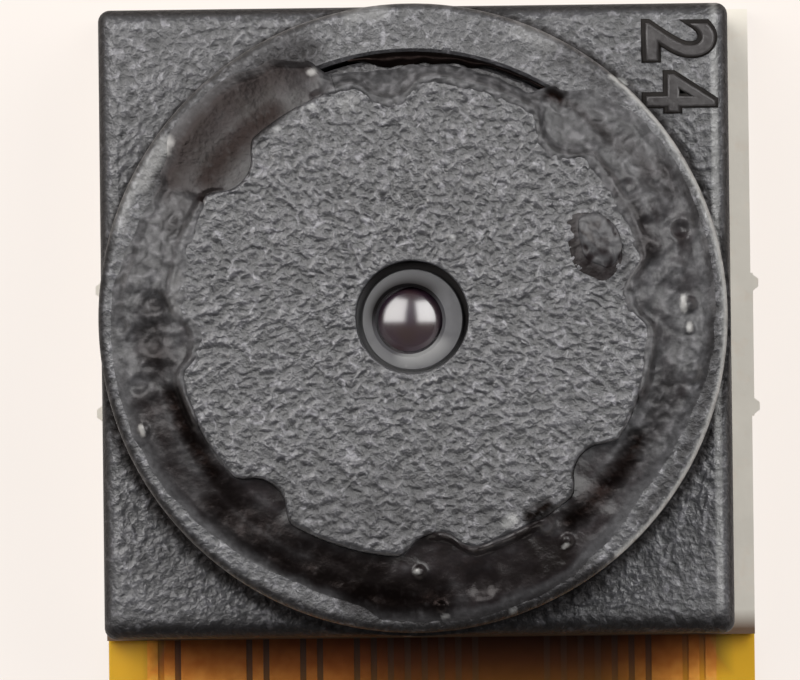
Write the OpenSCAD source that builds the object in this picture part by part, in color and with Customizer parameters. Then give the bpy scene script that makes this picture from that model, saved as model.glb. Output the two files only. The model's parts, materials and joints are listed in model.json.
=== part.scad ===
// Fixed-focus camera module. A square moulded holder with a round collar carries a notched lens
// barrel, which is locked in its thread with adhesive. Under it a packaged image sensor stands on a
// small rigid board, and a flat flexible circuit leaves the board as a tail with edge contacts.
// Millimetres. The optical axis is +Z, the back face is at Z = 0 and the tail runs towards -Y.

/* [Holder] */
// Side of the square base
holder_w = 8; // [7.4:0.1:10]
// Height of the square base
base_h = 2.55; // [2.25:0.05:4]
// Wall round the sensor pocket
holder_wall = 0.75; // [0.5:0.05:1]
// Radius of the base's four upright corners
corner_r = 0.15; // [0.05:0.05:0.5]
// Rounding along the base's top edges
edge_r = 0.12; // [0.05:0.01:0.25]
// Outside diameter of the collar
collar_d = 7.85; // [7.2:0.05:8.6]
// Height of the collar above the base
collar_h = 1.9; // [1.5:0.05:3]
// Rounding of the collar's outer rim
rim_r = 0.12; // [0.05:0.01:0.18]
// Radius at the collar's foot
foot_r = 0.06; // [0.03:0.01:0.07]
// Chamfer at the mouth of the bore
bore_chamfer = 0.05; // [0.02:0.01:0.1]
// Clear diameter of the web between the barrel and the filter
light_hole_d = 4.2; // [3:0.1:4.6]
// Thickness of that web
web_t = 0.2; // [0.15:0.05:0.3]

/* [Barrel] */
// Diameter over the barrel's thread
barrel_d = 6.5; // [6:0.05:6.9]
// Radial gap between the thread and the bore
thread_gap = 0.06; // [0.03:0.01:0.1]
// Radial step from the thread in to the head
head_step = 0.27; // [0.2:0.01:0.4]
// How far the shoulder round the head lies below the collar's top
shoulder_drop = 0.05; // [0.03:0.01:0.2]
// How far the face stands above the collar
head_proud = 0.35; // [0.2:0.05:0.45]
// Chamfer round the face
face_chamfer = 0.06; // [0.02:0.01:0.1]
// Number of grip notches in the head
notches = 8; // [4:1:10]
// Radius of each notch
notch_r = 0.42; // [0.3:0.01:0.5]
// How far the notch's centre lies outside the head
notch_out = 0.14; // [0.05:0.01:0.25]
// Turn of the first notch from +X, in degrees
notch_turn = 5; // [0:1:44]
// Diameter of the well in the middle of the face
well_d = 1.4; // [1.2:0.05:2]
// Depth of the well
well_h = 0.22; // [0.15:0.01:0.35]
// Diameter of the window through the front wall
window_d = 0.84; // [0.8:0.02:1.1]
// Thickness of the front wall under the well
front_wall_t = 0.22; // [0.2:0.01:0.35]
// Length of barrel below the retainer
skirt_h = 0.1; // [0.05:0.05:0.3]
// Gap between the barrel and the web, which the focus setting takes up
focus_gap = 0.25; // [0.1:0.05:0.5]

/* [Lenses] */
// Diameter of the front lens
front_lens_d = 3.2; // [2.6:0.1:3.4]
// Step in radius from each lens to the next one behind it
lens_step = 0.38; // [0.25:0.01:0.45]
// Radial gap round each lens
lens_gap = 0.01; // [0.005:0.005:0.03]
// Thickness of the front lens at its flange
front_lens_t = 0.5; // [0.4:0.05:0.6]
// Radius and height of the front lens's dome, which shows in the window
front_dome_r = 0.38; // [0.3:0.01:0.39]
front_dome_h = 0.1; // [0.06:0.01:0.12]
// Height of the neck that carries the dome up into the window
front_neck_h = 0.08; // [0.04:0.01:0.1]
// Thickness of the aperture stop
stop_t = 0.04; // [0.03:0.01:0.06]
// Diameter of the hole in the stop
stop_hole_d = 0.7; // [0.5:0.05:0.9]
// Thickness of the middle lens at its flange
middle_lens_t = 0.45; // [0.35:0.05:0.55]
// Thickness of the spacer ring
spacer_t = 0.12; // [0.11:0.01:0.2]
// Thickness of the rear lens at its flange
rear_lens_t = 0.55; // [0.45:0.05:0.65]
// Thickness of the retainer ring
retainer_t = 0.3; // [0.25:0.05:0.4]
// Side of the square infrared filter
filter_w = 5; // [4.8:0.1:5.4]
// Thickness of the filter
filter_t = 0.3; // [0.2:0.05:0.4]
// Gap round the filter in its recess
filter_gap = 0.05; // [0.02:0.01:0.1]

/* [Sensor] */
// Size of the packaged sensor along X
sensor_w = 3.8; // [3.4:0.1:4.4]
// Size of the packaged sensor along Y
sensor_l = 4.2; // [3.6:0.1:4.8]
// Thickness of the silicon die
die_t = 0.2; // [0.15:0.05:0.3]
// Width and thickness of the dam that bonds the cover glass to the die
dam_w = 0.35; // [0.2:0.05:0.5]
dam_t = 0.05; // [0.03:0.01:0.08]
// Thickness of the cover glass
cover_glass_t = 0.4; // [0.3:0.05:0.5]
// Balls along each side of the grid
ball_rows = 5; // [4:1:5]
// Diameter of a solder ball
ball_d = 0.26; // [0.22:0.01:0.32]
// Height of a ball after soldering
ball_h = 0.18; // [0.14:0.01:0.2]
// Distance between balls
ball_pitch = 0.65; // [0.5:0.05:0.7]
// Length, width and height of a chip capacitor
capacitor_l = 1; // [0.8:0.1:1.2]
capacitor_w = 0.5; // [0.4:0.05:0.6]
capacitor_h = 0.5; // [0.4:0.05:0.55]
// Length of a capacitor's end terminal
terminal_l = 0.25; // [0.15:0.05:0.3]
// Thickness of the terminal's metal
terminal_t = 0.03; // [0.02:0.01:0.05]
// Gap between a capacitor and the pocket wall
capacitor_gap = 0.15; // [0.1:0.05:0.3]
// Distance between the two capacitors on one side
capacitor_pitch = 1.8; // [1.5:0.1:2.6]

/* [Adhesive] */
// Thickness of the bond under the holder
bond_t = 0.05; // [0.03:0.01:0.1]
// How far the bond stays inside the holder's outline
bond_inset = 0.05; // [0.02:0.01:0.1]
// First and last angle of the thread-lock adhesive, in degrees from +X
glue_from = 106; // [104:1:110]
glue_to = 418; // [410:1:420]
// Gap left between that adhesive and what it lies on
glue_gap = 0.02; // [0.01:0.01:0.04]
// Height of the adhesive's lip, where it ends on the collar
lip_h = 0.02; // [0.01:0.01:0.04]
// Height of the drop of adhesive that ran onto the face
drop_h = 0.12; // [0.06:0.01:0.2]
// Radius of that drop
drop_r = 0.28; // [0.2:0.01:0.3]
// Angle of that drop from +X, in degrees
drop_turn = 22; // [18:1:32]

/* [Board] */
// Size of the rigid board along X
board_w = 8.4; // [8.2:0.1:9.5]
// Size of the rigid board along Y
board_l = 8.1; // [8:0.1:9.5]
// Thickness of the rigid board
board_t = 0.3; // [0.2:0.05:0.5]
// How far the board's middle lies from the optical axis along X
board_shift = 0.1; // [0:0.05:0.2]
// Thickness of the stiffener under the board
back_stiffener_t = 0.2; // [0.1:0.05:0.3]
// Length of the snapped-off panel tab on each side
tab_l = 1.85; // [1.5:0.05:2.5]
// How far the tab's stub stands out between its two ends
tab_out = 0.03; // [0.02:0.01:0.05]
// Length of the nub left at each end of the stub, and how far it stands out
nub_l = 0.25; // [0.15:0.05:0.4]
nub_out = 0.1; // [0.06:0.01:0.2]
// Middle of the tab along Y
tab_y = -0.3; // [-1:0.05:1]

/* [Tail] */
// Thickness of the bottom cover film
bottom_cover_t = 0.03; // [0.02:0.01:0.05]
// Thickness of the base film
base_film_t = 0.05; // [0.03:0.01:0.08]
// Thickness of the copper
copper_t = 0.03; // [0.02:0.01:0.04]
// Thickness of the top cover film above the copper
top_cover_t = 0.04; // [0.02:0.01:0.06]
// Width of the tail where it leaves the board
neck_w = 8.4; // [8.2:0.1:9]
// Length of that narrow part
neck_l = 6.5; // [4:0.5:20]
// Length of the wide end
end_l = 4.4; // [4.2:0.1:8]
// Number of contacts
contacts = 24; // [20:1:26]
// Distance between contacts
contact_pitch = 0.5; // [0.45:0.05:0.6]
// Width of a contact
contact_wide = 0.32; // [0.25:0.01:0.38]
// Length of a bare contact
contact_l = 3; // [2.5:0.1:3.5]
// Length of the stiffener behind the contacts
contact_stiffener_l = 4; // [3.5:0.1:4.2]
// Width of a signal trace
signal_w = 0.14; // [0.1:0.01:0.16]
// Width of a power trace
power_w = 0.4; // [0.3:0.01:0.45]
// Width of a ground trace
ground_w = 0.85; // [0.6:0.05:0.95]
// Gap between neighbouring traces in the neck
trace_gap = 0.08; // [0.06:0.01:0.1]
// Width of every trace where it meets its contact
trace_end_w = 0.2; // [0.15:0.01:0.25]
// How far the traces run in under the board
trace_in = 0.8; // [0.4:0.1:2]

/* [Hidden] */
$fn = 96;
// What a cut runs past the face that it opens
past = 0.1;

// Heights, from the back face up
z_film = back_stiffener_t + bottom_cover_t;
z_copper = z_film + base_film_t;
z_board = z_copper + copper_t + top_cover_t;
z_board_top = z_board + board_t;
z_holder = z_board_top + bond_t;
z_base_top = z_holder + base_h;
z_collar = z_base_top + collar_h;
z_face = z_collar + head_proud;
head_h = head_proud + shoulder_drop;
z_shoulder = z_face - head_h;

// Heights in the barrel, from the front wall down
z_well = z_face - well_h;
z_front = z_well - front_wall_t;
z_stop = z_front - front_lens_t;
z_middle = z_stop - stop_t;
z_spacer = z_middle - middle_lens_t;
z_rear = z_spacer - spacer_t;
z_retainer = z_rear - rear_lens_t;
z_skirt = z_retainer - retainer_t;
z_barrel = z_skirt - skirt_h;

// Heights in the holder, below the barrel
z_web_top = z_barrel - focus_gap;
z_web = z_web_top - web_t;
z_pocket_top = z_web - filter_t;

// Heights of the sensor's layers
z_die = z_board_top + ball_h;
z_dam = z_die + die_t;
z_cover_glass = z_dam + dam_t;

// Radii and widths that follow from the sizes above
collar_r = collar_d / 2;
barrel_r = barrel_d / 2;
bore_r = barrel_r + thread_gap;
head_r = barrel_r - head_step;
notch_at = head_r + notch_out;
middle_lens_d = front_lens_d + 2 * lens_step;
rear_lens_d = middle_lens_d + 2 * lens_step;
pocket_w = holder_w - 2 * holder_wall;
filter_recess_w = filter_w + 2 * filter_gap;
capacitor_x = pocket_w / 2 - capacitor_gap - capacitor_w / 2;

// The tail's outline along Y
y_board = -board_l / 2;
y_neck = y_board - neck_l;
end_w = (contacts + 1) * contact_pitch;
y_flare = y_neck - (end_w - neck_w) / 2;
y_end = y_flare - end_l;
y_contact = y_end + contact_l;

// Which of the traces are wide: two grounds and three supplies
ground_traces = [2, 14];
power_traces = [4, 6, 21];
function is_in(i, list) = len(search(i, list)) > 0;
function trace_w(i) = is_in(i, ground_traces) ? ground_w : is_in(i, power_traces) ? power_w : signal_w;
// Left edge of trace i, measured from the left edge of the first one
function trace_left(i) = i == 0 ? 0 : trace_left(i - 1) + trace_w(i - 1) + trace_gap;
trace_field_w = trace_left(contacts - 1) + trace_w(contacts - 1);
function trace_x(i) = board_shift - trace_field_w / 2 + trace_left(i) + trace_w(i) / 2;
function contact_x(i) = board_shift + (i - (contacts - 1) / 2) * contact_pitch;

// The adhesive as it was spread. Each row: angle, its height at the head's side as a share of the
// face's height above the collar, and its reach as a share of the collar's top
coat = [[106, 0.05, 0.1], [112, 0.25, 0.2], [119, 0.32, 0.7], [130, 0.35, 0.95], [141, 0.35, 0.98],
    [149, 0.32, 0.95], [152, 0.4, 0.4], [162, 0.75, 0.6], [175, 0.7, 0.85], [188, 0.5, 0.9],
    [200, 0.4, 0.85], [214, 0.4, 0.8], [222, 0.35, 0.55], [230, 0.3, 0.4], [246, 0.2, 0.25],
    [258, 0.25, 0.35], [264, 0.4, 0.9], [281, 0.5, 0.98], [297, 0.4, 0.95], [310, 0.35, 0.6],
    [322, 0.2, 0.4], [336, 0.35, 0.55], [352, 0.6, 0.85], [362, 0.7, 0.9], [375, 0.85, 0.92],
    [388, 0.9, 0.95], [399, 0.7, 0.92], [410, 0.35, 0.6], [418, 0.05, 0.1]];
function reach(angle) = lookup(angle, [for (row = coat) [row[0], row[2]]]);
function ripple(angle) = 1 + 0.08 * sin(19 * angle) + 0.05 * sin(31 * angle + 40);
function fill(angle) = lookup(angle, [for (row = coat) [row[0], row[1]]]) * ripple(angle);

// Distance from the axis to the head's side at an angle, with the notches cut into it
function from_notch(angle) = (angle - notch_turn + 180 / notches + 360) % (360 / notches) - 180 / notches;
function notch_wall(a) = let(s = pow(notch_r, 2) - pow(notch_at * sin(a), 2))
    s > 0 ? notch_at * cos(a) - sqrt(s) : head_r;
function head_side(angle) = min(head_r, notch_wall(from_notch(angle)));
// The adhesive is drawn in straight steps, so each one keeps clear of its neighbours' stretch too
glue_steps = 120;
glue_step = (glue_to - glue_from) / glue_steps;
function clear_side(angle) = 2 * glue_gap + max([for (k = [-1 : 1]) head_side(angle + k * glue_step)]);

// A section through the adhesive, as [radius, height] pairs: along the shoulder, up the bore, out
// over the collar and back over the crown, whose edge is round and whose slope climbs to the head
crown = [0, 0.03, 0.08, 0.16, 0.3, 0.46, 0.64, 0.82, 1];
function crown_z(u, angle) = let(lip = sqrt(min(1, u / 0.16)))
    lip_h * (1 + lip) + head_proud * fill(angle) * (0.12 * lip + 0.88 * pow(u, 1.3));
function glue_section(angle) = let(inner = clear_side(angle), low = z_shoulder + glue_gap,
    seat = z_collar + glue_gap, outer = bore_r + glue_gap + reach(angle) * (collar_r - bore_r - rim_r))
    concat([[inner, low], [bore_r - 2 * glue_gap, low], [bore_r - 2 * glue_gap, seat], [outer, seat]],
        [for (u = crown) [outer + u * (inner - outer), seat + crown_z(u, angle)]]);

// A plate with straight sides and round corners, in plan
module rounded_plan(w, l, r) {
    square([w - 2 * r, l], center = true);
    square([w, l - 2 * r], center = true);
    for (x = [-1, 1], y = [-1, 1])
        translate([x * (w / 2 - r), y * (l / 2 - r)]) circle(r);
}

// An upright section of the base: its two top corners are round
module base_section() {
    translate([-holder_w / 2, 0]) square([holder_w, base_h - edge_r]);
    translate([-holder_w / 2 + edge_r, 0]) square([holder_w - 2 * edge_r, base_h]);
    for (x = [-1, 1])
        translate([x * (holder_w / 2 - edge_r), base_h - edge_r]) circle(edge_r);
}

module base_block() {
    intersection() {
        linear_extrude(base_h) rounded_plan(holder_w, holder_w, corner_r);
        rotate([90, 0, 0]) linear_extrude(holder_w, center = true) base_section();
        rotate([90, 0, 90]) linear_extrude(holder_w, center = true) base_section();
    }
}

// The collar as a solid of revolution, with its outer rim rounded and a small radius at its foot
module collar_block() {
    foot = z_base_top - base_h / 2;
    translate([0, 0, foot]) rotate_extrude() {
        difference() {
            square([collar_r + foot_r, z_base_top + foot_r - foot]);
            translate([collar_r + foot_r, z_base_top + foot_r - foot]) circle(foot_r);
        }
        square([collar_r, z_collar - rim_r - foot]);
        square([collar_r - rim_r, z_collar - foot]);
        translate([collar_r - rim_r, z_collar - rim_r - foot]) circle(rim_r);
    }
}

module lens_holder() {
    color([0.2, 0.2, 0.21])
    difference() {
        union() {
            translate([0, 0, z_holder]) base_block();
            collar_block();
        }
        translate([0, 0, z_web_top]) cylinder(r = bore_r, h = z_collar - z_web_top + past);
        translate([0, 0, z_collar - bore_chamfer])
            cylinder(r1 = bore_r, r2 = bore_r + bore_chamfer, h = bore_chamfer);
        translate([0, 0, z_web - past]) cylinder(d = light_hole_d, h = web_t + 2 * past);
        translate([0, 0, z_pocket_top - past])
            linear_extrude(filter_t + past) square(filter_recess_w, center = true);
        translate([0, 0, z_holder - past])
            linear_extrude(z_pocket_top - z_holder + past) rounded_plan(pocket_w, pocket_w, corner_r);
    }
}

// A spherical cap that stands on Z = 0. Its foot goes on below that as a neck of the same radius,
// by default just deep enough for a clean joint
module dome(r, h, neck = past / 10) {
    ball_r = (r * r + h * h) / (2 * h);
    intersection() {
        translate([0, 0, h - ball_r]) sphere(ball_r);
        translate([0, 0, -neck]) cylinder(r = r, h = h + neck + past);
    }
}

// The hollow of the barrel: one step for each lens, wider towards the back
module barrel_steps() {
    translate([0, 0, z_middle]) cylinder(d = front_lens_d + 2 * lens_gap, h = z_front - z_middle);
    translate([0, 0, z_rear]) cylinder(d = middle_lens_d + 2 * lens_gap, h = z_middle - z_rear);
    translate([0, 0, z_barrel - past])
        cylinder(d = rear_lens_d + 2 * lens_gap, h = z_rear - z_barrel + past);
}

module lens_barrel() {
    color([0.23, 0.23, 0.24])
    difference() {
        union() {
            translate([0, 0, z_barrel]) cylinder(r = barrel_r, h = z_shoulder - z_barrel);
            translate([0, 0, z_shoulder - past]) cylinder(r = head_r, h = head_h + past - face_chamfer);
            translate([0, 0, z_face - face_chamfer])
                cylinder(r1 = head_r, r2 = head_r - face_chamfer, h = face_chamfer);
        }
        for (i = [0 : notches - 1])
            rotate(notch_turn + i * 360 / notches) translate([notch_at, 0, z_shoulder])
                cylinder(r = notch_r, h = head_h + past);
        translate([0, 0, z_well]) cylinder(d = well_d, h = well_h + past);
        translate([0, 0, z_front - past]) cylinder(d = window_d, h = front_wall_t + 2 * past);
        barrel_steps();
    }
}

// The adhesive's sections are joined ring by ring, and the two ends are closed
module glue_bead() {
    n = len(glue_section(glue_from));
    points = [for (k = [0 : glue_steps]) let(a = glue_from + k * glue_step)
        for (p = glue_section(a)) [p[0] * cos(a), p[0] * sin(a), p[1]]];
    sides = [for (k = [0 : glue_steps - 1], i = [0 : n - 1]) let(a = k * n + i, b = k * n + (i + 1) % n)
        each [[a, b, a + n], [b, b + n, a + n]]];
    first = [for (i = [n - 1 : -1 : 0]) i];
    last = [for (i = [0 : n - 1]) glue_steps * n + i];
    polyhedron(points, concat(sides, [first, last]));
}

module thread_lock_adhesive() {
    color([0.16, 0.13, 0.12]) {
        glue_bead();
        rotate(drop_turn) translate([head_side(drop_turn) - face_chamfer - drop_r - past, 0, z_face])
            intersection() {
                dome(drop_r, drop_h);
                cylinder(r = drop_r, h = drop_h);
            }
    }
}

module front_lens() {
    color([0.75, 0.8, 0.85, 0.6])
    difference() {
        union() {
            translate([0, 0, z_stop]) cylinder(d = front_lens_d, h = front_lens_t);
            translate([0, 0, z_front + front_neck_h])
                dome(front_dome_r, front_dome_h, front_neck_h + past / 10);
        }
        translate([0, 0, z_stop]) dome(stop_hole_d / 2 + past, front_lens_t / 6);
    }
}

module aperture_stop() {
    color([0.08, 0.08, 0.08])
    translate([0, 0, z_middle])
        difference() {
            cylinder(d = front_lens_d, h = stop_t);
            translate([0, 0, -past]) cylinder(d = stop_hole_d, h = stop_t + 2 * past);
        }
}

// A lens whose front is hollow and whose back bulges
module meniscus(d, t, hollow_r, hollow_h, bulge_r, bulge_h) {
    difference() {
        union() {
            cylinder(d = d, h = t);
            mirror([0, 0, 1]) dome(bulge_r, bulge_h);
        }
        translate([0, 0, t]) mirror([0, 0, 1]) dome(hollow_r, hollow_h);
    }
}

module middle_lens() {
    color([0.75, 0.8, 0.85, 0.6])
    translate([0, 0, z_spacer])
        meniscus(middle_lens_d, middle_lens_t, front_lens_d / 4, middle_lens_t / 5,
            middle_lens_d / 4, spacer_t * 0.8);
}

module rear_lens() {
    color([0.75, 0.8, 0.85, 0.6])
    translate([0, 0, z_retainer])
        meniscus(rear_lens_d, rear_lens_t, middle_lens_d / 3, rear_lens_t / 6,
            rear_lens_d / 3, retainer_t * 0.7);
}

// A flat ring with a hole that clears a lens's bulge
module ring(d, hole_d, t) {
    difference() {
        cylinder(d = d, h = t);
        translate([0, 0, -past]) cylinder(d = hole_d, h = t + 2 * past);
    }
}

module lens_spacer() {
    color([0.1, 0.1, 0.1])
    translate([0, 0, z_rear]) ring(middle_lens_d, middle_lens_d * 0.62, spacer_t);
}

module lens_retainer() {
    color([0.12, 0.12, 0.12])
    translate([0, 0, z_skirt]) ring(rear_lens_d, rear_lens_d * 0.75, retainer_t);
}

module infrared_filter() {
    color([0.6, 0.75, 0.8, 0.6])
    translate([0, 0, z_pocket_top]) linear_extrude(filter_t) square(filter_w, center = true);
}

module sensor_layer(z, t) {
    translate([0, 0, z]) linear_extrude(t) square([sensor_w, sensor_l], center = true);
}

module sensor_cover_glass() {
    color([0.8, 0.88, 0.86, 0.5]) sensor_layer(z_cover_glass, cover_glass_t);
}

module sensor_dam() {
    color([0.1, 0.1, 0.1])
    difference() {
        sensor_layer(z_dam, dam_t);
        translate([0, 0, z_dam - past]) linear_extrude(dam_t + 2 * past)
            square([sensor_w - 2 * dam_w, sensor_l - 2 * dam_w], center = true);
    }
}

module sensor_die() {
    color([0.3, 0.3, 0.36]) sensor_layer(z_die, die_t);
}

// The grid leaves out one corner ball, which marks the first contact
module solder_balls() {
    middle = (ball_rows - 1) / 2;
    color([0.75, 0.76, 0.78])
    for (i = [0 : ball_rows - 1], j = [0 : ball_rows - 1])
        if (i + j > 0)
            translate([(i - middle) * ball_pitch, (j - middle) * ball_pitch, z_board_top])
                intersection() {
                    translate([0, 0, ball_h / 2]) sphere(d = ball_d);
                    cylinder(d = ball_d, h = ball_h);
                }
}

// Places its children where the four capacitors stand, with their undersides on the board
module at_capacitors() {
    for (x = [-1, 1], y = [-1, 1])
        translate([x * capacitor_x, y * capacitor_pitch / 2, z_board_top]) children();
}

module capacitor_block() {
    translate([0, 0, capacitor_h / 2])
        cube([capacitor_w - 2 * terminal_t, capacitor_l - 2 * terminal_t, capacitor_h - 2 * terminal_t],
            center = true);
}

module capacitor_bodies() {
    color([0.55, 0.42, 0.3]) at_capacitors() capacitor_block();
}

module capacitor_terminals() {
    color([0.72, 0.72, 0.74])
    at_capacitors()
        difference() {
            for (y = [-1, 1])
                translate([0, y * (capacitor_l - terminal_l) / 2, capacitor_h / 2])
                    cube([capacitor_w, terminal_l, capacitor_h], center = true);
            capacitor_block();
        }
}

// The board's outline, with the stub of a panel tab on each side. The stub was cut nearly flush, and
// a nub is left at each of its ends.
module board_plan() {
    translate([board_shift, 0]) {
        square([board_w, board_l], center = true);
        for (side = [-1, 1]) {
            translate([side * board_w / 2, tab_y]) square([2 * tab_out, tab_l], center = true);
            for (end = [-1, 1])
                translate([side * board_w / 2, tab_y + end * (tab_l - nub_l) / 2])
                    polygon([[-nub_out, -nub_l / 5], [0, -nub_l / 2], [nub_out, -nub_l / 5],
                        [nub_out, nub_l / 5], [0, nub_l / 2], [-nub_out, nub_l / 5]]);
        }
    }
}

module head_board() {
    color([0.8, 0.78, 0.72])
    translate([0, 0, z_board]) linear_extrude(board_t) board_plan();
}

module holder_adhesive() {
    color([0.1, 0.09, 0.09])
    translate([0, 0, z_board_top]) linear_extrude(bond_t)
        difference() {
            rounded_plan(holder_w - 2 * bond_inset, holder_w - 2 * bond_inset, corner_r);
            rounded_plan(pocket_w + 2 * bond_inset, pocket_w + 2 * bond_inset, corner_r);
        }
}

module back_stiffener() {
    color([0.72, 0.73, 0.74])
    linear_extrude(back_stiffener_t)
        translate([board_shift, 0]) square([board_w, board_l], center = true);
}

// The flexible circuit's outline from the far edge of the board down to Y = low
module tail_plan(low) {
    half_neck = neck_w / 2;
    half_end = end_w / 2;
    translate([board_shift, 0])
        polygon([[-half_neck, board_l / 2], [-half_neck, y_neck], [-half_end, y_flare], [-half_end, low],
            [half_end, low], [half_end, y_flare], [half_neck, y_neck], [half_neck, board_l / 2]]);
}

module bottom_coverlay() {
    color([0.78, 0.55, 0.18])
    translate([0, 0, back_stiffener_t]) linear_extrude(bottom_cover_t)
        tail_plan(y_end + contact_stiffener_l);
}

module flex_base() {
    color([0.85, 0.6, 0.2])
    translate([0, 0, z_film]) linear_extrude(base_film_t) tail_plan(y_end);
}

// One trace: straight down the neck, slanting over the flare, then straight to its contact
module trace_plan(i) {
    left = trace_x(i) - trace_w(i) / 2;
    right = trace_x(i) + trace_w(i) / 2;
    end_left = contact_x(i) - trace_end_w / 2;
    end_right = contact_x(i) + trace_end_w / 2;
    polygon([[left, y_board + trace_in], [right, y_board + trace_in], [right, y_neck],
        [end_right, y_flare], [end_right, y_contact], [end_left, y_contact], [end_left, y_flare],
        [left, y_neck]]);
}

module copper_traces() {
    color([0.72, 0.42, 0.2])
    translate([0, 0, z_copper]) linear_extrude(copper_t)
        for (i = [0 : contacts - 1]) trace_plan(i);
}

// The cover film and its adhesive lie over the copper and fill the gaps between the traces
module top_coverlay() {
    color([0.85, 0.58, 0.16, 0.7])
    difference() {
        translate([0, 0, z_copper]) linear_extrude(copper_t + top_cover_t) tail_plan(y_contact);
        copper_traces();
    }
}

module contact_fingers() {
    color([0.9, 0.74, 0.36])
    for (i = [0 : contacts - 1])
        translate([contact_x(i) - contact_wide / 2, y_end, z_copper])
            cube([contact_wide, contact_l, copper_t]);
}

// The stiffener fills the height under the base film, so the tail's end lies as low as the back
module contact_stiffener() {
    color([0.66, 0.45, 0.16])
    translate([board_shift - end_w / 2, y_end, 0])
        cube([end_w, contact_stiffener_l, z_film]);
}

lens_holder();
lens_barrel();
thread_lock_adhesive();
front_lens();
aperture_stop();
middle_lens();
lens_spacer();
rear_lens();
lens_retainer();
infrared_filter();
sensor_cover_glass();
sensor_dam();
sensor_die();
solder_balls();
capacitor_bodies();
capacitor_terminals();
head_board();
holder_adhesive();
back_stiffener();
bottom_coverlay();
flex_base();
copper_traces();
top_coverlay();
contact_fingers();
contact_stiffener();
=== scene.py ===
# %% [markdown]
# # A camera module, dressed for its portrait
# The solid model of a small camera module is the fixed frame here: a square moulded holder, a round
# collar, a glued lens barrel, a board and a flexible tail. This lesson adds what a camera sees: the
# coarse grain of the mould, rounded edges, lumps of glue, coated glass and amber film.
# Everything is in metres, in the frame's own axes, so a new piece goes where its solid is.

# %% Load the frame
import json
import math

import bmesh
import bpy
from mathutils import Matrix, Vector, noise


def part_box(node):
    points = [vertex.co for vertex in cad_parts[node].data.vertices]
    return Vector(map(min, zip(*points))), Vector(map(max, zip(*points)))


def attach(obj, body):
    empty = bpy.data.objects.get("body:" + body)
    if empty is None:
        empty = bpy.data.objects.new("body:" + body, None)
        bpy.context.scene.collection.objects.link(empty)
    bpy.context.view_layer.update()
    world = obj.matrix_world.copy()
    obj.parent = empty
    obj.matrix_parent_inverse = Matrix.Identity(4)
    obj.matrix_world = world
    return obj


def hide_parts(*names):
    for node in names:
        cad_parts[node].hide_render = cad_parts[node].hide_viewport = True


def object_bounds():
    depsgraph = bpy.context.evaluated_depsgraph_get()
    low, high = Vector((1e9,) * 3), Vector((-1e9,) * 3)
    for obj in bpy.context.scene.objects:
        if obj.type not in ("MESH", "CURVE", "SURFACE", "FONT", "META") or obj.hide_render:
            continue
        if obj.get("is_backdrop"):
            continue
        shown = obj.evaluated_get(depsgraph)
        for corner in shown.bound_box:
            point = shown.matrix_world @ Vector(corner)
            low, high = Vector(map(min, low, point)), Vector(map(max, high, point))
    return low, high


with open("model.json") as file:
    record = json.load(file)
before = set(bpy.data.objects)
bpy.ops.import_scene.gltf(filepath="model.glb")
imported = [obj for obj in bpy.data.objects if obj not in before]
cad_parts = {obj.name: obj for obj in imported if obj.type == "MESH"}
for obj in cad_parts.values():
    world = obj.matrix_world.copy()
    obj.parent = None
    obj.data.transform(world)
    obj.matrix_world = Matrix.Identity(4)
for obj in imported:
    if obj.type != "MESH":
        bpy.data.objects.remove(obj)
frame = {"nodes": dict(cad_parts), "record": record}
cad_low, cad_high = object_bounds()
mm = 0.001
mounts = {mount["name"]: mount for mount in frame["record"]["mounts"]}
cad_length = (cad_high.y - cad_low.y) / mm
print("the frame has", len(frame["nodes"]), "nodes and is", round(cad_length, 2), "mm long")

# %% [markdown]
# ## Sizes that the pieces share
# Each size is read from the frame's boxes and mounts, so a piece can't drift from its solid. Only
# what a box doesn't tell, such as a rounding or the depth of a well, is given as a number.

# %% Read the main sizes
holder_low, holder_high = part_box("lens_holder")
barrel_low, barrel_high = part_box("lens_barrel")
half_side = holder_high.x
holder_foot = holder_low.z
collar_top = holder_high.z
collar_radius = mounts["collar"]["dims"]["r_mm"] * mm
foot = 0.06 * mm
base_top = mounts["collar"]["pos_m"][2] - mounts["collar"]["dims"]["length_mm"] * mm / 2 - foot
barrel_radius = barrel_high.x
face_height = barrel_high.z
bore_radius = barrel_radius + 0.06 * mm
print("holder", round(2 * half_side / mm, 2), "mm wide, collar radius", round(collar_radius / mm, 3), "mm")
print("heights in mm: base top, collar top, face",
      [round(height / mm, 2) for height in (base_top, collar_top, face_height)])

# %% [markdown]
# ## The camera
# The view is almost straight down the optical axis. A long lens keeps the walls nearly hidden, and a
# tilt of about one degree shows a little of the front and right sides. The matrix is built from its
# three axes, because a track-to rule has no clear "up" when a camera looks straight down.

# %% Place the camera
frame_width = 10.14 * mm
distance = 110 * mm
lean_back = math.radians(1.1)
lean_right = math.radians(1.2)
roll = math.radians(-0.7)
middle = Vector((-0.2 * mm, -0.24 * mm, base_top))

backward = Vector((math.tan(lean_right), -math.tan(lean_back), 1)).normalized()
sideways = Vector((math.cos(roll), math.sin(roll), 0))
sideways = (sideways - backward * sideways.dot(backward)).normalized()
upward = backward.cross(sideways)
camera_data = bpy.data.cameras.new("camera")
camera = bpy.data.objects.new("camera", camera_data)
bpy.context.scene.collection.objects.link(camera)
camera.matrix_world = Matrix.Translation(middle + backward * distance) @ Matrix(
    (sideways, upward, backward)).transposed().to_4x4()
camera_data.sensor_width = 36
camera_data.lens = camera_data.sensor_width * distance / frame_width
camera_data.clip_start = 5 * mm
camera_data.clip_end = 10
bpy.context.scene.camera = camera
print("focal length", round(camera_data.lens), "mm for a view", round(frame_width / mm, 2), "mm wide")

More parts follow.
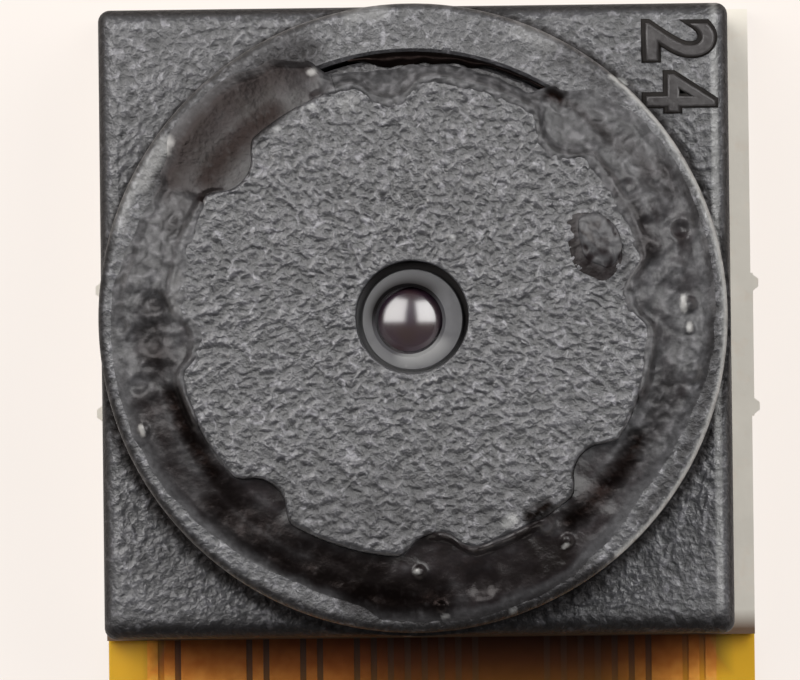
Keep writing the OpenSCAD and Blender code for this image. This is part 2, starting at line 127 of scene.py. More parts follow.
# %% [markdown]
# ## Light and floor
# Two large soft boxes hang over the module, one to its left and one to its right, both a little away
# from the tail, and a dim even sky fills the shadows. Their sum is set so that a colour renders about
# as it is written. The floor is one pale plane: a camera ray sees mostly its plain colour, and the
# rest of it is a diffuse surface, so the soft shadow stays.

# %% Build the soft boxes, the sky and the floor
scene = bpy.context.scene
scene.view_settings.view_transform = "Standard"


def soft_box(name, lean_x, lean_y, watts, width, height, tint):
    """A rectangular area lamp that faces the module, leaning from the vertical by two angles. Its
    height lies along the tail's direction."""
    reach = 70 * mm
    data = bpy.data.lights.new(name, "AREA")
    data.shape = "RECTANGLE"
    data.size = width
    data.size_y = height
    data.energy = watts
    data.color = tint
    lamp = bpy.data.objects.new(name, data)
    toward = Vector((math.tan(math.radians(lean_x)), math.tan(math.radians(lean_y)), 1)).normalized()
    across = Vector((0, 1, 0)).cross(toward).normalized()
    lamp.matrix_world = Matrix.Translation(toward * reach) @ Matrix(
        (across, toward.cross(across), toward)).transposed().to_4x4()
    scene.collection.objects.link(lamp)


soft_box("left_box", -30, 22, 0.0355, 58 * mm, 52 * mm, (1, 0.98, 0.96))
soft_box("right_box", 30, 19, 0.0252, 42 * mm, 46 * mm, (1, 0.99, 0.98))

world = bpy.data.worlds.new("sky")
world.use_nodes = True
scene.world = world
sky = world.node_tree.nodes["Background"]
sky.inputs["Color"].default_value = (0.93, 0.95, 1, 1)
sky.inputs["Strength"].default_value = 0.12

floor_mesh = bmesh.new()
bmesh.ops.create_grid(floor_mesh, x_segments=1, y_segments=1, size=0.4)
floor_data = bpy.data.meshes.new("floor")
floor_mesh.to_mesh(floor_data)
floor_mesh.free()
floor = bpy.data.objects.new("floor", floor_data)
floor.location.z = -0.01 * mm
scene.collection.objects.link(floor)
floor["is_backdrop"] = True

# %% [markdown]
# ## Helpers for materials
# A material is a short chain of nodes. These helpers add a node, name its inputs and wire them, so
# that each recipe below reads as a list of what the surface is made of.


# %% Add a node
def add(tree, kind, links=(), **values):
    """A node of that kind. Values go to its properties or unlinked sockets, links to its inputs."""
    node = tree.nodes.new(kind)
    for key, value in values.items():
        if hasattr(node, key):
            setattr(node, key, value)
        else:
            node.inputs[key.replace("_", " ")].default_value = value
    for socket, source in dict(links).items():
        tree.links.new(source, node.inputs[socket])
    return node


def new_material(name):
    """An empty material with its output node, and the tree to fill."""
    material = bpy.data.materials.new(name)
    material.use_nodes = True
    tree = material.node_tree
    tree.nodes.clear()
    return material, tree, tree.nodes.new("ShaderNodeOutputMaterial")


# %% Sums, ramps and mixes
def calc(tree, operation, first, second):
    """A Math node. Each of its two values may be a number or another node's output."""
    node = add(tree, "ShaderNodeMath", operation=operation)
    for index, value in enumerate((first, second)):
        if isinstance(value, bpy.types.NodeSocket):
            tree.links.new(value, node.inputs[index])
        else:
            node.inputs[index].default_value = value
    return node.outputs[0]


def span(tree, value, low, high):
    """A Map Range node: 0 at low, 1 at high, and held at both ends."""
    return add(tree, "ShaderNodeMapRange", {"Value": value}, From_Min=low, From_Max=high).outputs[0]


def ramp(tree, source, stops):
    """A colour ramp over a value. Stops are (position, grey or colour)."""
    node = add(tree, "ShaderNodeValToRGB", {"Fac": source})
    elements = node.color_ramp.elements
    while len(elements) < len(stops):
        elements.new(0.5)
    for element, (position, colour) in zip(elements, stops):
        element.position = position
        element.color = (*colour, 1) if isinstance(colour, tuple) else (colour, colour, colour, 1)
    return node.outputs["Color"]


def mix(tree, factor, first, second, blend="MIX"):
    """Mixes two colours. A factor or colour may be a plain value or another node's output."""
    node = add(tree, "ShaderNodeMix", data_type="RGBA", blend_type=blend)
    for index, value in ((0, factor), (6, first), (7, second)):
        if isinstance(value, bpy.types.NodeSocket):
            tree.links.new(value, node.inputs[index])
        else:
            grey = (value, value, value) if index and not isinstance(value, tuple) else value
            node.inputs[index].default_value = (*grey, 1) if index else value
    return node.outputs[2]


# %% Surfaces and textures
def principled(tree, output, links=(), **values):
    """The surface shader, wired to the output."""
    shader = add(tree, "ShaderNodeBsdfPrincipled", links, **values)
    tree.links.new(shader.outputs["BSDF"], output.inputs["Surface"])
    return shader


def over_object(tree, kind, **values):
    """A texture over the object's own coordinates. Its scale counts cells for each metre."""
    place = add(tree, "ShaderNodeTexCoord")
    return add(tree, kind, {"Vector": place.outputs["Object"]}, **values)


def object_noise(tree, scale, detail=3.0, distortion=0.0):
    """Noise over the object's own coordinates."""
    texture = over_object(tree, "ShaderNodeTexNoise", Scale=scale, Detail=detail, Distortion=distortion)
    return texture.outputs["Fac"]


def object_axis(tree, axis):
    """A point's own X, Y or Z, in metres."""
    return over_object(tree, "ShaderNodeSeparateXYZ").outputs[axis]


def bump(tree, height, strength, depth):
    """A Bump node over a height."""
    node = add(tree, "ShaderNodeBump", {"Height": height}, Strength=strength, Distance=depth)
    return node.outputs["Normal"]


def plain_finish(name, dark, light, roughness, **extra):
    """A mottled finish for the small pieces inside."""
    material, tree, output = new_material(name)
    tone = ramp(tree, object_noise(tree, 3500, 3), [(0.35, dark), (0.65, light)])
    principled(tree, output, {"Base Color": tone}, Roughness=roughness, **extra)
    return material


# %% The floor's material
floor_material, tree, output = new_material("pale_floor")
path = add(tree, "ShaderNodeLightPath")
sees = calc(tree, "MAXIMUM", path.outputs["Is Camera Ray"], path.outputs["Is Glossy Ray"])
sees = calc(tree, "MAXIMUM", sees, path.outputs["Is Transmission Ray"])
share = calc(tree, "MULTIPLY", sees, 0.8)
floor_tone = ramp(tree, object_noise(tree, 6, 1), [(0.3, (0.925, 0.86, 0.80)), (0.7, (0.95, 0.88, 0.83))])
plain = add(tree, "ShaderNodeEmission", {"Color": floor_tone}, Strength=1.08)
paper = add(tree, "ShaderNodeBsdfDiffuse", {"Color": floor_tone})
both = add(tree, "ShaderNodeMixShader", {0: share, 1: paper.outputs[0], 2: plain.outputs[0]})
tree.links.new(both.outputs[0], output.inputs["Surface"])
floor_data.materials.append(floor_material)
print("floor colour is written as a pale warm white")

# %% [markdown]
# ## Helpers for meshes
# Almost every part of the head is round, so its shape is an outline turned about the optical axis. A
# Screw modifier that doesn't climb is a lathe, and it stays quick with a hundred thousand points. A
# long straight run of the outline is cut into short pieces first, because the grain is pressed into
# real points later and needs enough of them.


# %% Points of an outline
def fine(run, pitch):
    """An open run of points with its straight stretches cut no longer than the pitch. The last point is
    left off, because it is the first one of the next run."""
    points = []
    for (r0, z0), (r1, z1) in zip(run, run[1:]):
        pieces = max(1, math.ceil(math.hypot(r1 - r0, z1 - z0) / pitch - 1e-6))
        points += [(r0 + (r1 - r0) * i / pieces, z0 + (z1 - z0) * i / pieces) for i in range(pieces)]
    return points


def rounding(r, z, radius, start, end, pieces=6):
    """Points along an arc round (r, z), between two angles in degrees."""
    angles = [math.radians(start + (end - start) * i / pieces) for i in range(pieces + 1)]
    return [(r + radius * math.cos(a), z + radius * math.sin(a)) for a in angles]


# %% Turn an outline, and finish a piece
def spin(outline, steps, turn=360.0, start=0.0, closed=True):
    """A bmesh of an outline in the XZ plane, turned about Z. A full turn is joined up."""
    count = len(outline)
    edges = [(i, i + 1) for i in range(count - 1)] + ([(count - 1, 0)] if closed else [])
    data = bpy.data.meshes.new("outline")
    data.from_pydata([(r, 0, z) for r, z in outline], edges, [])
    data.transform(Matrix.Rotation(math.radians(start), 4, "Z"))
    blank = bpy.data.objects.new("outline", data)
    scene.collection.objects.link(blank)
    lathe = blank.modifiers.new("lathe", "SCREW")
    lathe.axis = "Z"
    lathe.angle = math.radians(turn)
    lathe.steps = lathe.render_steps = steps
    lathe.use_merge_vertices = True
    lathe.merge_threshold = 1e-7
    mesh = bmesh.new()
    mesh.from_object(blank, bpy.context.evaluated_depsgraph_get())
    bpy.data.objects.remove(blank)
    bpy.data.meshes.remove(data)
    return mesh


def finish_piece(name, mesh, material, replaces=(), smooth=True, sharp=38):
    """Turns a bmesh into an object that rides on the root body and takes a material.
    Edges that turn by more than the sharp angle stay crisp."""
    bmesh.ops.recalc_face_normals(mesh, faces=mesh.faces)
    data = bpy.data.meshes.new(name)
    mesh.to_mesh(data)
    mesh.free()
    piece = bpy.data.objects.new(name, data)
    scene.collection.objects.link(piece)
    if smooth:
        data.shade_smooth()
        data.set_sharp_from_angle(angle=math.radians(sharp))
    data.materials.append(material)
    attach(piece, "root")
    if replaces:
        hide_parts(*replaces)
    print(name, "has", len(data.polygons), "faces")
    return piece


# %% [markdown]
# ## Grain
# The mould was spark-eroded, which leaves small rounded pits and ridges of about a tenth of a
# millimetre. It could be a bump texture alone, but then a low view would show a flat face. Here the
# larger ridges move the mesh's own points, and a bump texture adds only what is finer than them.


# %% A height for spark-eroded plastic
def lumpy(x, y, z, size):
    """A smooth random value between about -1 and 1, with lumps of that size."""
    return noise.noise(Vector((x, y, z)) / size)


def eroded(x, y, cell):
    """Height between about -1 and 1 of the eroded grain at a point, for ridges a cell apart."""
    at = Vector((x / cell, y / cell, 0.3))
    bend = Vector((noise.noise(at * 0.7 + Vector((9, 2, 5))), noise.noise(at * 0.7 + Vector((3, 8, 1))), 0))
    ridge = noise.noise(at + bend * 0.9)
    crease = noise.noise(at * 0.8 + Vector((5, 5, 7)) + bend * 0.6)
    fold = 1 - 2.2 * math.sqrt(crease * crease + 0.004)
    return 0.75 * ridge + 0.45 * fold


# %% [markdown]
# ## Marks of use, and painted light
# The real head has been handled: a bare smear and small specks of dust lie on it, and dark residue
# sits in places. Other marks are painted light: the pale line along the collar's right rim and some
# small white dots are painted highlights, and the dark lines round the collar's foot and in the
# corners, notches and gap are painted shade. Two lists of arcs hold them all. Each piece asks them at
# its own points and keeps the answer in a colour layer, so a mark runs on unbroken from one piece to
# the next.

# %% Marks by angle and radius
# Each row: from and to an angle in degrees, radius and half width in millimetres, and an amount,
# which is pale wear and painted highlight above zero, and dark residue and painted shade below it.
# Pale rows are wear, and painted highlights such as the collar's right rim line and the small dots.
wear_and_highlight_arcs = [
    (-50, 50, 3.895, 0.038, 1.0), (48, 49, 4.0, 0.05, 0.9), (144, 153, 3.77, 0.13, 0.42),
    (152, 162, 3.84, 0.08, 0.25), (95, 101, 3.84, 0.13, 0.3), (63, 69, 3.82, 0.16, 0.2),
    (111, 112, 3.31, 0.05, 0.4), (114.5, 115, 2.9, 0.05, 0.5), (124.5, 125.5, 2.88, 0.05, 0.4),
    (105, 107, 2.78, 0.12, 0.25), (62, 63, 1.1, 0.05, 0.5), (270, 270.6, 3.16, 0.04, 0.7),
    (302.8, 303.4, 3.42, 0.04, 0.8), (275.3, 275.9, 3.74, 0.04, 0.5), (288, 288.6, 3.86, 0.04, 0.5),
    (267.6, 268.4, 4.04, 0.06, 0.9), (294, 296, 2.8, 0.08, 0.55), (201.3, 202.6, 3.65, 0.045, 0.9),
    (0.9, 3.6, 3.38, 0.045, 0.85), (-3.2, -2.2, 3.45, 0.045, 0.8), (-3, 4, 3.9, 0.08, 0.3),
    (170, 178, 2.95, 0.12, 0.1)]
# Dark rows are residue, and painted shade such as the line round the collar's foot.
residue_and_shade_arcs = [
    (-180, 180, 3.99, 0.11, -0.8), (124, 145, 3.1, 0.26, -0.85), (55.5, 57.5, 3.28, 0.14, -1.0),
    (300, 305, 2.88, 0.15, -1.0), (307, 331, 3.2, 0.19, -0.95), (177, 190, 3.22, 0.28, -0.6),
    (197, 218, 3.14, 0.17, -0.95), (198, 216, 3.45, 0.3, -0.45), (222, 256, 3.4, 0.24, -0.8),
    (216, 262, 3.16, 0.2, -0.75), (261, 304, 3.96, 0.3, -0.85), (240, 262, 3.9, 0.16, -0.7),
    (258, 274, 3.5, 0.4, -0.9), (270, 300, 3.45, 0.35, -0.4), (165, 262, 3.9, 0.09, -0.7),
    (186, 262, 4.02, 0.17, -0.9), (113, 149, 3.55, 0.42, -0.72), (146, 151, 3.5, 0.3, -0.7),
    (262, 300, 3.88, 0.12, -0.6), (52, 165, 3.91, 0.05, -0.4), (42, 56, 3.3, 0.08, -0.6),
    (-42, 14, 3.77, 0.11, -0.5), (38, 45, 3.32, 0.13, -0.5), (31, 39, 3.45, 0.15, -0.5),
    (25, 32, 3.62, 0.15, -0.5), (18, 26, 3.77, 0.13, -0.5), (150, 158, 3.2, 0.2, -0.4),
    (335, 345, 3.3, 0.2, -0.45), (14, 26, 3.06, 0.14, -0.5), (8, 16, 2.72, 0.12, -0.35),
    (47, 62, 3.76, 0.18, -0.38)]


def marks_and_painted_light(x, y):
    """How dark a point is with residue and painted shade, and how pale with wear and painted
    highlights, each from 0 to 1.
    """
    ragged = lumpy(x, y, 0, 0.11 * mm) + 0.6 * lumpy(x, y, 2 * mm, 0.05 * mm)
    radius = math.hypot(x, y) / mm
    angle = math.degrees(math.atan2(y, x))
    dark = pale = 0.0
    for start, end, at, width, amount in wear_and_highlight_arcs + residue_and_shade_arcs:
        across = abs(radius + min(0.035, 0.3 * width) * ragged - at)
        if across < width:
            off = abs((angle - (start + end) / 2 + 180) % 360 - 180) - (end - start) / 2
            far = math.hypot(math.radians(max(0.0, off)) * at, across) / width
            level = amount * max(0.0, 1 - far * far) * min(1.0, 1.15 - 0.5 * abs(ragged))
            pale = max(pale, level)
            dark = max(dark, -level)
    return dark, pale


def ease(value, low, high):
    """0 below low, 1 above high, and a soft step between. It also runs down, if high is the lesser."""
    share = min(1.0, max(0.0, (value - low) / (high - low)))
    return share * share * (3 - 2 * share)


print(len(wear_and_highlight_arcs), "pale marks and", len(residue_and_shade_arcs), "dark ones")

# %% [markdown]
# ## Black moulded plastic
# The holder and the barrel are the same family of black plastic. It isn't black to the eye: its fine
# grain scatters the soft light into a cool grey. A shared node group gives the grain's height, a
# slow change of tone, a little pale dust and a mask of painted glints, and each material sets its own
# amounts. The relief paints shade into the hollows and highlights onto the ridges. Residue and
# painted shade are made a dark metal in the shader, only because that is what takes a plastic's
# sheen away.

# %% A node group for grain, tone and dust
grain_group = bpy.data.node_groups.new("moulded_grain", "ShaderNodeTree")
for way, labels in (("INPUT", ("Grain Scale", "Dust")), ("OUTPUT", ("Height", "Tone", "Dust", "Glint"))):
    for label in labels:
        grain_group.interface.new_socket(label, in_out=way, socket_type="NodeSocketFloat")
enter = grain_group.nodes.new("NodeGroupInput")
leave = grain_group.nodes.new("NodeGroupOutput")
grain = over_object(grain_group, "ShaderNodeTexNoise", Detail=3.0, Distortion=0.4)
grain_group.links.new(enter.outputs["Grain Scale"], grain.inputs["Scale"])
specks = over_object(grain_group, "ShaderNodeTexVoronoi", Scale=5200.0)
near_speck = span(grain_group, specks.outputs["Distance"], 0.16, 0.08)
in_patch = span(grain_group, object_noise(grain_group, 900.0, 1.0), 0.52, 0.7)
dusty = calc(grain_group, "MULTIPLY", near_speck, in_patch)
given = {
    "Height": grain.outputs["Fac"],
    "Tone": object_noise(grain_group, 420.0, 2.0),
    "Dust": calc(grain_group, "MULTIPLY", dusty, enter.outputs["Dust"]),
    # Glint is a painted highlight: pale specks of colour where grain ridges would catch the lamps.
    "Glint": span(grain_group, object_noise(grain_group, 7200.0, 2.0, 0.8), 0.58, 0.76),
}
for label, source in given.items():
    grain_group.links.new(source, leave.inputs[label])
print("group", grain_group.name, "gives", list(given))


# %% Plastic materials
def read_marks(tree):
    """The marks of a point: red is residue and painted shade, green is wear and painted highlight,
    and blue is a smooth place without grain.
    """
    layer = add(tree, "ShaderNodeAttribute", attribute_name="marks")
    return add(tree, "ShaderNodeSeparateColor", {"Color": layer.outputs["Color"]}).outputs


residue_and_shade_colour = (0.009, 0.006, 0.005)
wear_and_highlight_colour = (0.46, 0.46, 0.45)
painted_glint_colour = (0.26, 0.255, 0.275)
dust_colour = (0.42, 0.4, 0.38)
painted_relief_shading = [(0.1, 0.45), (0.6, 1.0), (0.95, 1.7)]


def moulded(name, dark, light, roughness, grain_scale, grain_depth, dust):
    """Black plastic between two tones. The relief pressed into the mesh paints shade into its hollows
    and highlights onto its ridges and makes the ridges glossier, and a bump grain, painted glints and
    pale dust lie over it."""
    material, tree, output = new_material(name)
    grain = add(tree, "ShaderNodeGroup", node_tree=grain_group, Grain_Scale=grain_scale, Dust=dust)
    relief = add(tree, "ShaderNodeAttribute", attribute_name="relief")
    residue_and_shade, wear_and_highlight, smooth = read_marks(tree)
    rough_share = calc(tree, "SUBTRACT", 1, smooth)
    height = calc(tree, "MULTIPLY", grain.outputs["Height"], rough_share)
    painted_glint = calc(tree, "MULTIPLY", grain.outputs["Glint"], rough_share)
    relief_height = calc(tree, "ADD", relief.outputs["Fac"], grain.outputs["Height"])
    base = ramp(tree, grain.outputs["Tone"], [(0.3, dark), (0.7, light)])
    # Painted shade in the relief's hollows and painted highlights on its ridges.
    shaded = mix(tree, 1.0, base, ramp(tree, relief_height, painted_relief_shading), "MULTIPLY")
    colour = mix(tree, smooth, shaded, light)
    # Painted glints lighten the colour in specks.
    colour = mix(tree, painted_glint, colour, painted_glint_colour)
    colour = mix(tree, grain.outputs["Dust"], colour, dust_colour)
    # Residue and painted shade darken the colour, wear and painted highlights lighten it.
    colour = mix(tree, wear_and_highlight, mix(tree, residue_and_shade, colour, residue_and_shade_colour), wear_and_highlight_colour)
    polished = ramp(tree, relief_height, [(0.2, roughness + 0.1), (0.7, roughness - 0.05)])
    principled(tree, output, {
        "Base Color": colour, "Roughness": mix(tree, residue_and_shade, polished, 0.6), "Metallic": residue_and_shade,
        "Normal": bump(tree, height, 1.0, grain_depth)}, IOR=1.6, Specular_IOR_Level=0.9)
    return material


holder_plastic = moulded("holder_plastic", (0.062, 0.062, 0.067), (0.078, 0.077, 0.084), 0.38,
                         grain_scale=15000, grain_depth=0.022 * mm, dust=0.35)
barrel_plastic = moulded("barrel_plastic", (0.057, 0.056, 0.061), (0.073, 0.072, 0.078), 0.33,
                         grain_scale=15500, grain_depth=0.024 * mm, dust=0.3)
print("made", holder_plastic.name, "and", barrel_plastic.name)

# %% [markdown]
# ## The holder
# On the real part this is one moulding: a square base, a round collar and the bore. A square and a
# circle meet in it, which a plain spin can't give. So the base is first spun as a wide round foot,
# and then each of its points is drawn along its own ray onto the square. The collar stays round.
# Grain is pressed up and down into the level faces only, as on a wall it would turn into stripes.

# %% Outline of the holder
edge = 0.24 * mm
rim = 0.12 * mm
corner = 0.15 * mm
wall = 0.75 * mm
foot_reach = 1.7 * mm
filter_low, filter_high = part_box("infrared_filter")
recess_half = filter_high.x + 0.05 * mm
pocket_half = half_side - wall
web_top = barrel_low.z - 0.25 * mm
light_hole = 2.1 * mm
flat_end = collar_radius + foot_reach
foot_radius = flat_end + edge

foot_edge = [(foot_radius, base_top - edge)] + rounding(flat_end, base_top - edge, edge, 0, 90)[1:]
collar_foot = rounding(collar_radius + foot, base_top + foot, foot, 270, 180, 3)
collar_rim = rounding(collar_radius - rim, collar_top - rim, rim, 0, 90)
bore_edge = 0.05 * mm
inside = [(bore_radius + bore_edge, collar_top), (bore_radius, collar_top - bore_edge),
          (bore_radius, web_top), (light_hole, web_top), (light_hole, filter_high.z),
          (recess_half, filter_high.z), (recess_half, filter_low.z), (pocket_half, filter_low.z),
          (pocket_half, holder_foot)]
grain_pitch = 0.042 * mm
holder_outline = fine([(foot_radius, holder_foot), foot_edge[0]], 0.3 * mm)
holder_outline += fine(foot_edge + [collar_foot[0]], grain_pitch)
holder_outline += fine(collar_foot + [collar_rim[0]], 0.2 * mm)
holder_outline += fine(collar_rim + [inside[0]], grain_pitch) + inside
print("outline of", len(holder_outline), "points")


# %% Draw the round foot onto a square
def square_reach(angle, half, corner):
    """Distance from the axis to a square with round corners, along a ray at that angle."""
    x, y = abs(math.cos(angle)), abs(math.sin(angle))
    x, y = max(x, y), min(x, y)
    straight = half / x
    if straight * y <= half - corner:
        return straight
    middle = half - corner
    along = middle * (x + y)
    return along + math.sqrt(max(0.0, corner * corner - 2 * middle * middle + along * along))


def squared(angle, radius, height):
    """Where a point of the spun holder belongs: on the square base, in the square pocket, or as it is."""
    if radius > collar_radius + foot - 1e-9 and height < base_top + 1e-9:
        inner = collar_radius + foot + 0.005 * mm
        flat = max(square_reach(angle, half_side - edge, corner * 0.6), inner)
        if radius <= flat_end:
            start = collar_radius + foot
            return start + (flat - start) * max(0.0, (radius - start) / (flat_end - start))
        share = (radius - flat_end) / edge
        return flat + (square_reach(angle, half_side, corner) - flat) * share
    if radius > light_hole + 1e-9 and height < filter_high.z + 1e-9:
        return square_reach(angle, radius, corner)
    return radius


# %% Marks, painted shade and painted highlights on the base and on the collar's wall
def base_marks_and_painted_light(x, y, height, dark, pale):
    """Marks on the base, with painted shade along its four borders and down its walls, and a painted
    highlight line near the right border.
    """
    # Painted shade along the lower, left, top and right borders, then on the walls below the top.
    dark = max(dark, 0.78 * ease(y, -3.6 * mm, -3.93 * mm),
               0.75 * ease(max(-x, y), 3.86 * mm, 3.96 * mm), 0.75 * ease(x, 3.89 * mm, 3.96 * mm))
    dark += (0.45 - dark) * ease(height, base_top - 0.2 * mm, base_top - 0.6 * mm)
    reach = math.hypot(x, y)
    pale *= ease(reach, collar_radius + foot, collar_radius + foot + 0.02 * mm)
    # A painted highlight line near the right border.
    line = 0.5 * ease(x, 3.76 * mm, 3.8 * mm) * ease(x, 3.88 * mm, 3.84 * mm)
    pale = max(pale, line * ease(y, -3.8 * mm, -3.5 * mm))
    return dark, pale * ease(height, base_top - 0.3 * mm, base_top - 0.15 * mm)


def wall_shade_and_rim_marks(x, y, height, dark, pale):
    """Painted shade on the collar's wall: mottled, and darkest at its foot. The rim keeps its own
    marks.
    """
    # The wall's painted shade, darkest at its foot.
    on_rim = ease(height, collar_top - 1.2 * rim, collar_top - 0.6 * rim)
    low = ease(height, base_top + 0.3 * mm, base_top + foot)
    mottle = 0.5 + 0.25 * lumpy(x, y, height, 0.4 * mm)
    return mottle + (dark - mottle) * on_rim + (0.8 - mottle) * low, pale * on_rim


# %% Spin the holder and press in its grain
grain_cell = 0.085 * mm
base_grain = 0.018 * mm
collar_grain = 0.013 * mm
holder_mesh = spin(holder_outline, 900)
holder_relief = holder_mesh.verts.layers.float.new("relief")
holder_marks = holder_mesh.verts.layers.float_color.new("marks")
for vert in holder_mesh.verts:
    angle = math.atan2(vert.co.y, vert.co.x)
    radius = math.hypot(vert.co.x, vert.co.y)
    height = vert.co.z
    reach = squared(angle, radius, height)
    x, y = reach * math.cos(angle), reach * math.sin(angle)
    if height > base_top - edge * 0.2 and radius > bore_radius + 0.06 * mm:
        level = base_grain if height < collar_top - rim else collar_grain
        bumps = eroded(x, y, grain_cell) - 0.3
        off_foot = ease(height, base_top + foot, base_top + 2 * foot)
        on_wall = off_foot * ease(height, collar_top - 0.6 * rim, collar_top - rim)
        height += level * bumps * (1 - on_wall)
        wall_bumps = 0.5 * noise.noise(vert.co / (0.35 * mm))
        vert[holder_relief] = bumps * (1 - on_wall) + on_wall * wall_bumps
    dark, pale = marks_and_painted_light(x, y)
    if vert.co.z < base_top + foot + 1e-7:
        dark, pale = base_marks_and_painted_light(x, y, height, dark, pale)
    elif reach > collar_radius - 0.3 * rim and height < collar_top:
        dark, pale = wall_shade_and_rim_marks(x, y, height, dark, pale)
    vert[holder_marks] = (dark, pale, 0.0, 1.0)
    vert.co = Vector((x, y, height))
finish_piece("holder_shell", holder_mesh, holder_plastic, ["lens_holder"])

# %% [markdown]
# ## The lens barrel
# The barrel is turned in the mould: a thread below, a shoulder, and a head with grip notches for the
# tool that sets the focus. It is one spun outline. Each notch is a round bite into the head's side,
# so the points near it are pulled in along their rays until they lie on the bite's circle. The well
# in the face has a flat ring round the window, and a narrow groove round that, which looks black
# from its depth and from painted shade.

# %% Outline of the barrel
head_radius = barrel_radius - 0.27 * mm
shoulder = face_height - 0.4 * mm
notch_radius = 0.42 * mm
notch_centre = head_radius + 0.14 * mm
notch_count = 8
notch_turn = math.radians(5)
well_radius = 0.7 * mm
well_floor = face_height - 0.22 * mm
window_radius = 0.42 * mm
front_wall_low = well_floor - 0.22 * mm
face_edge = 0.07 * mm
well_edge = 0.025 * mm

lens_gap = 0.01 * mm
front_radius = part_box("front_lens")[1].x + lens_gap
middle_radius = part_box("middle_lens")[1].x + lens_gap
rear_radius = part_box("rear_lens")[1].x + lens_gap
stop_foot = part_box("aperture_stop")[0].z
spacer_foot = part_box("lens_spacer")[0].z

groove = 0.062 * mm
groove_depth = 0.12 * mm
bevel = 0.04 * mm
window = [(window_radius, front_wall_low), (window_radius, well_floor - bevel),
          (window_radius + bevel, well_floor), (well_radius - groove - 0.02 * mm, well_floor),
          (well_radius - groove, well_floor - 0.02 * mm), (well_radius - groove, well_floor - groove_depth),
          (well_radius, well_floor - groove_depth), (well_radius, face_height - well_edge)]
well_rim = rounding(well_radius + well_edge, face_height - well_edge, well_edge, 180, 90, 4)
face_rim = rounding(head_radius - face_edge, face_height - face_edge, face_edge, 90, 0, 5)
ledge_edge = 0.04 * mm
ledge = [(head_radius, shoulder), (barrel_radius - ledge_edge, shoulder),
         (barrel_radius, shoulder - ledge_edge)]
underside = [(barrel_radius, barrel_low.z), (rear_radius, barrel_low.z), (rear_radius, spacer_foot),
             (middle_radius, spacer_foot), (middle_radius, stop_foot), (front_radius, stop_foot),
             (front_radius, front_wall_low)]
mid_face = (1.5 * mm, face_height)
barrel_outline = window + well_rim[:-1]
barrel_outline += fine([well_rim[-1], mid_face], 0.02 * mm) + fine([mid_face, face_rim[0]], 0.026 * mm)
barrel_outline += fine(face_rim + ledge, 0.06 * mm) + ledge[-1:] + underside
print("face is", round(head_radius / mm, 2), "mm in radius, with", notch_count, "notches")


# %% Bite the notches into the head's side
def from_notch(angle):
    """Angle from the nearest notch's middle."""
    step = 2 * math.pi / notch_count
    return (angle - notch_turn + step / 2) % step - step / 2


def head_side(angle):
    """Distance from the axis to the head's side, with the notches in it."""
    away = from_notch(angle)
    inside = notch_radius ** 2 - (notch_centre * math.sin(away)) ** 2
    if inside <= 0:
        return head_radius
    return min(head_radius, notch_centre * math.cos(away) - math.sqrt(inside))


def soft_side(angle, spread=math.radians(0.8)):
    """The same, with the notch's two sharp corners rounded off."""
    return sum(head_side(angle + spread * i) for i in (-2, -1, 0, 1, 2)) / 5


pull_from = 2.2 * mm


def notched(angle, radius):
    """How far out a point of the spun head belongs, once the notches are bitten out."""
    if radius <= pull_from:
        return radius
    side = soft_side(angle)
    if radius > head_radius:
        return side + (barrel_radius - side) * (radius - head_radius) / (barrel_radius - head_radius)
    return pull_from + (radius - pull_from) * (side - pull_from) / (head_radius - pull_from)


# %% Painted shade and highlights in the well
def groove_shade(at):
    """Painted shade in the well's groove: most at the upper right, least at the lower left."""
    return 0.1 + 0.75 * ease(at.y + 0.5 * at.x, -0.6 * mm, 0.35 * mm)


def well_painted_light(radius, at):
    """Painted shade and highlights inside the well. The window's bevel is painted dark above and lit
    at the lower right, the groove is painted with shade, and the flat ring is painted lighter
    towards the left.
    """
    if radius < window_radius + bevel + 0.01 * mm:
        low_right = 0.35 * at.x - 0.94 * at.y
        return 0.85 * ease(low_right, 0, -0.3 * mm), 0.5 * ease(low_right, 0.3 * mm, 0.42 * mm), 1.0, 1.0
    if at.z < well_floor - 0.01 * mm and radius > window_radius + 0.1 * mm:
        shaded = groove_shade(at)
        return shaded, 0.25 * (0.85 - shaded), 1.0, 1.0
    return 0.0, 0.12 * ease(at.x, 0.2 * mm, -0.5 * mm), 1.0, 1.0


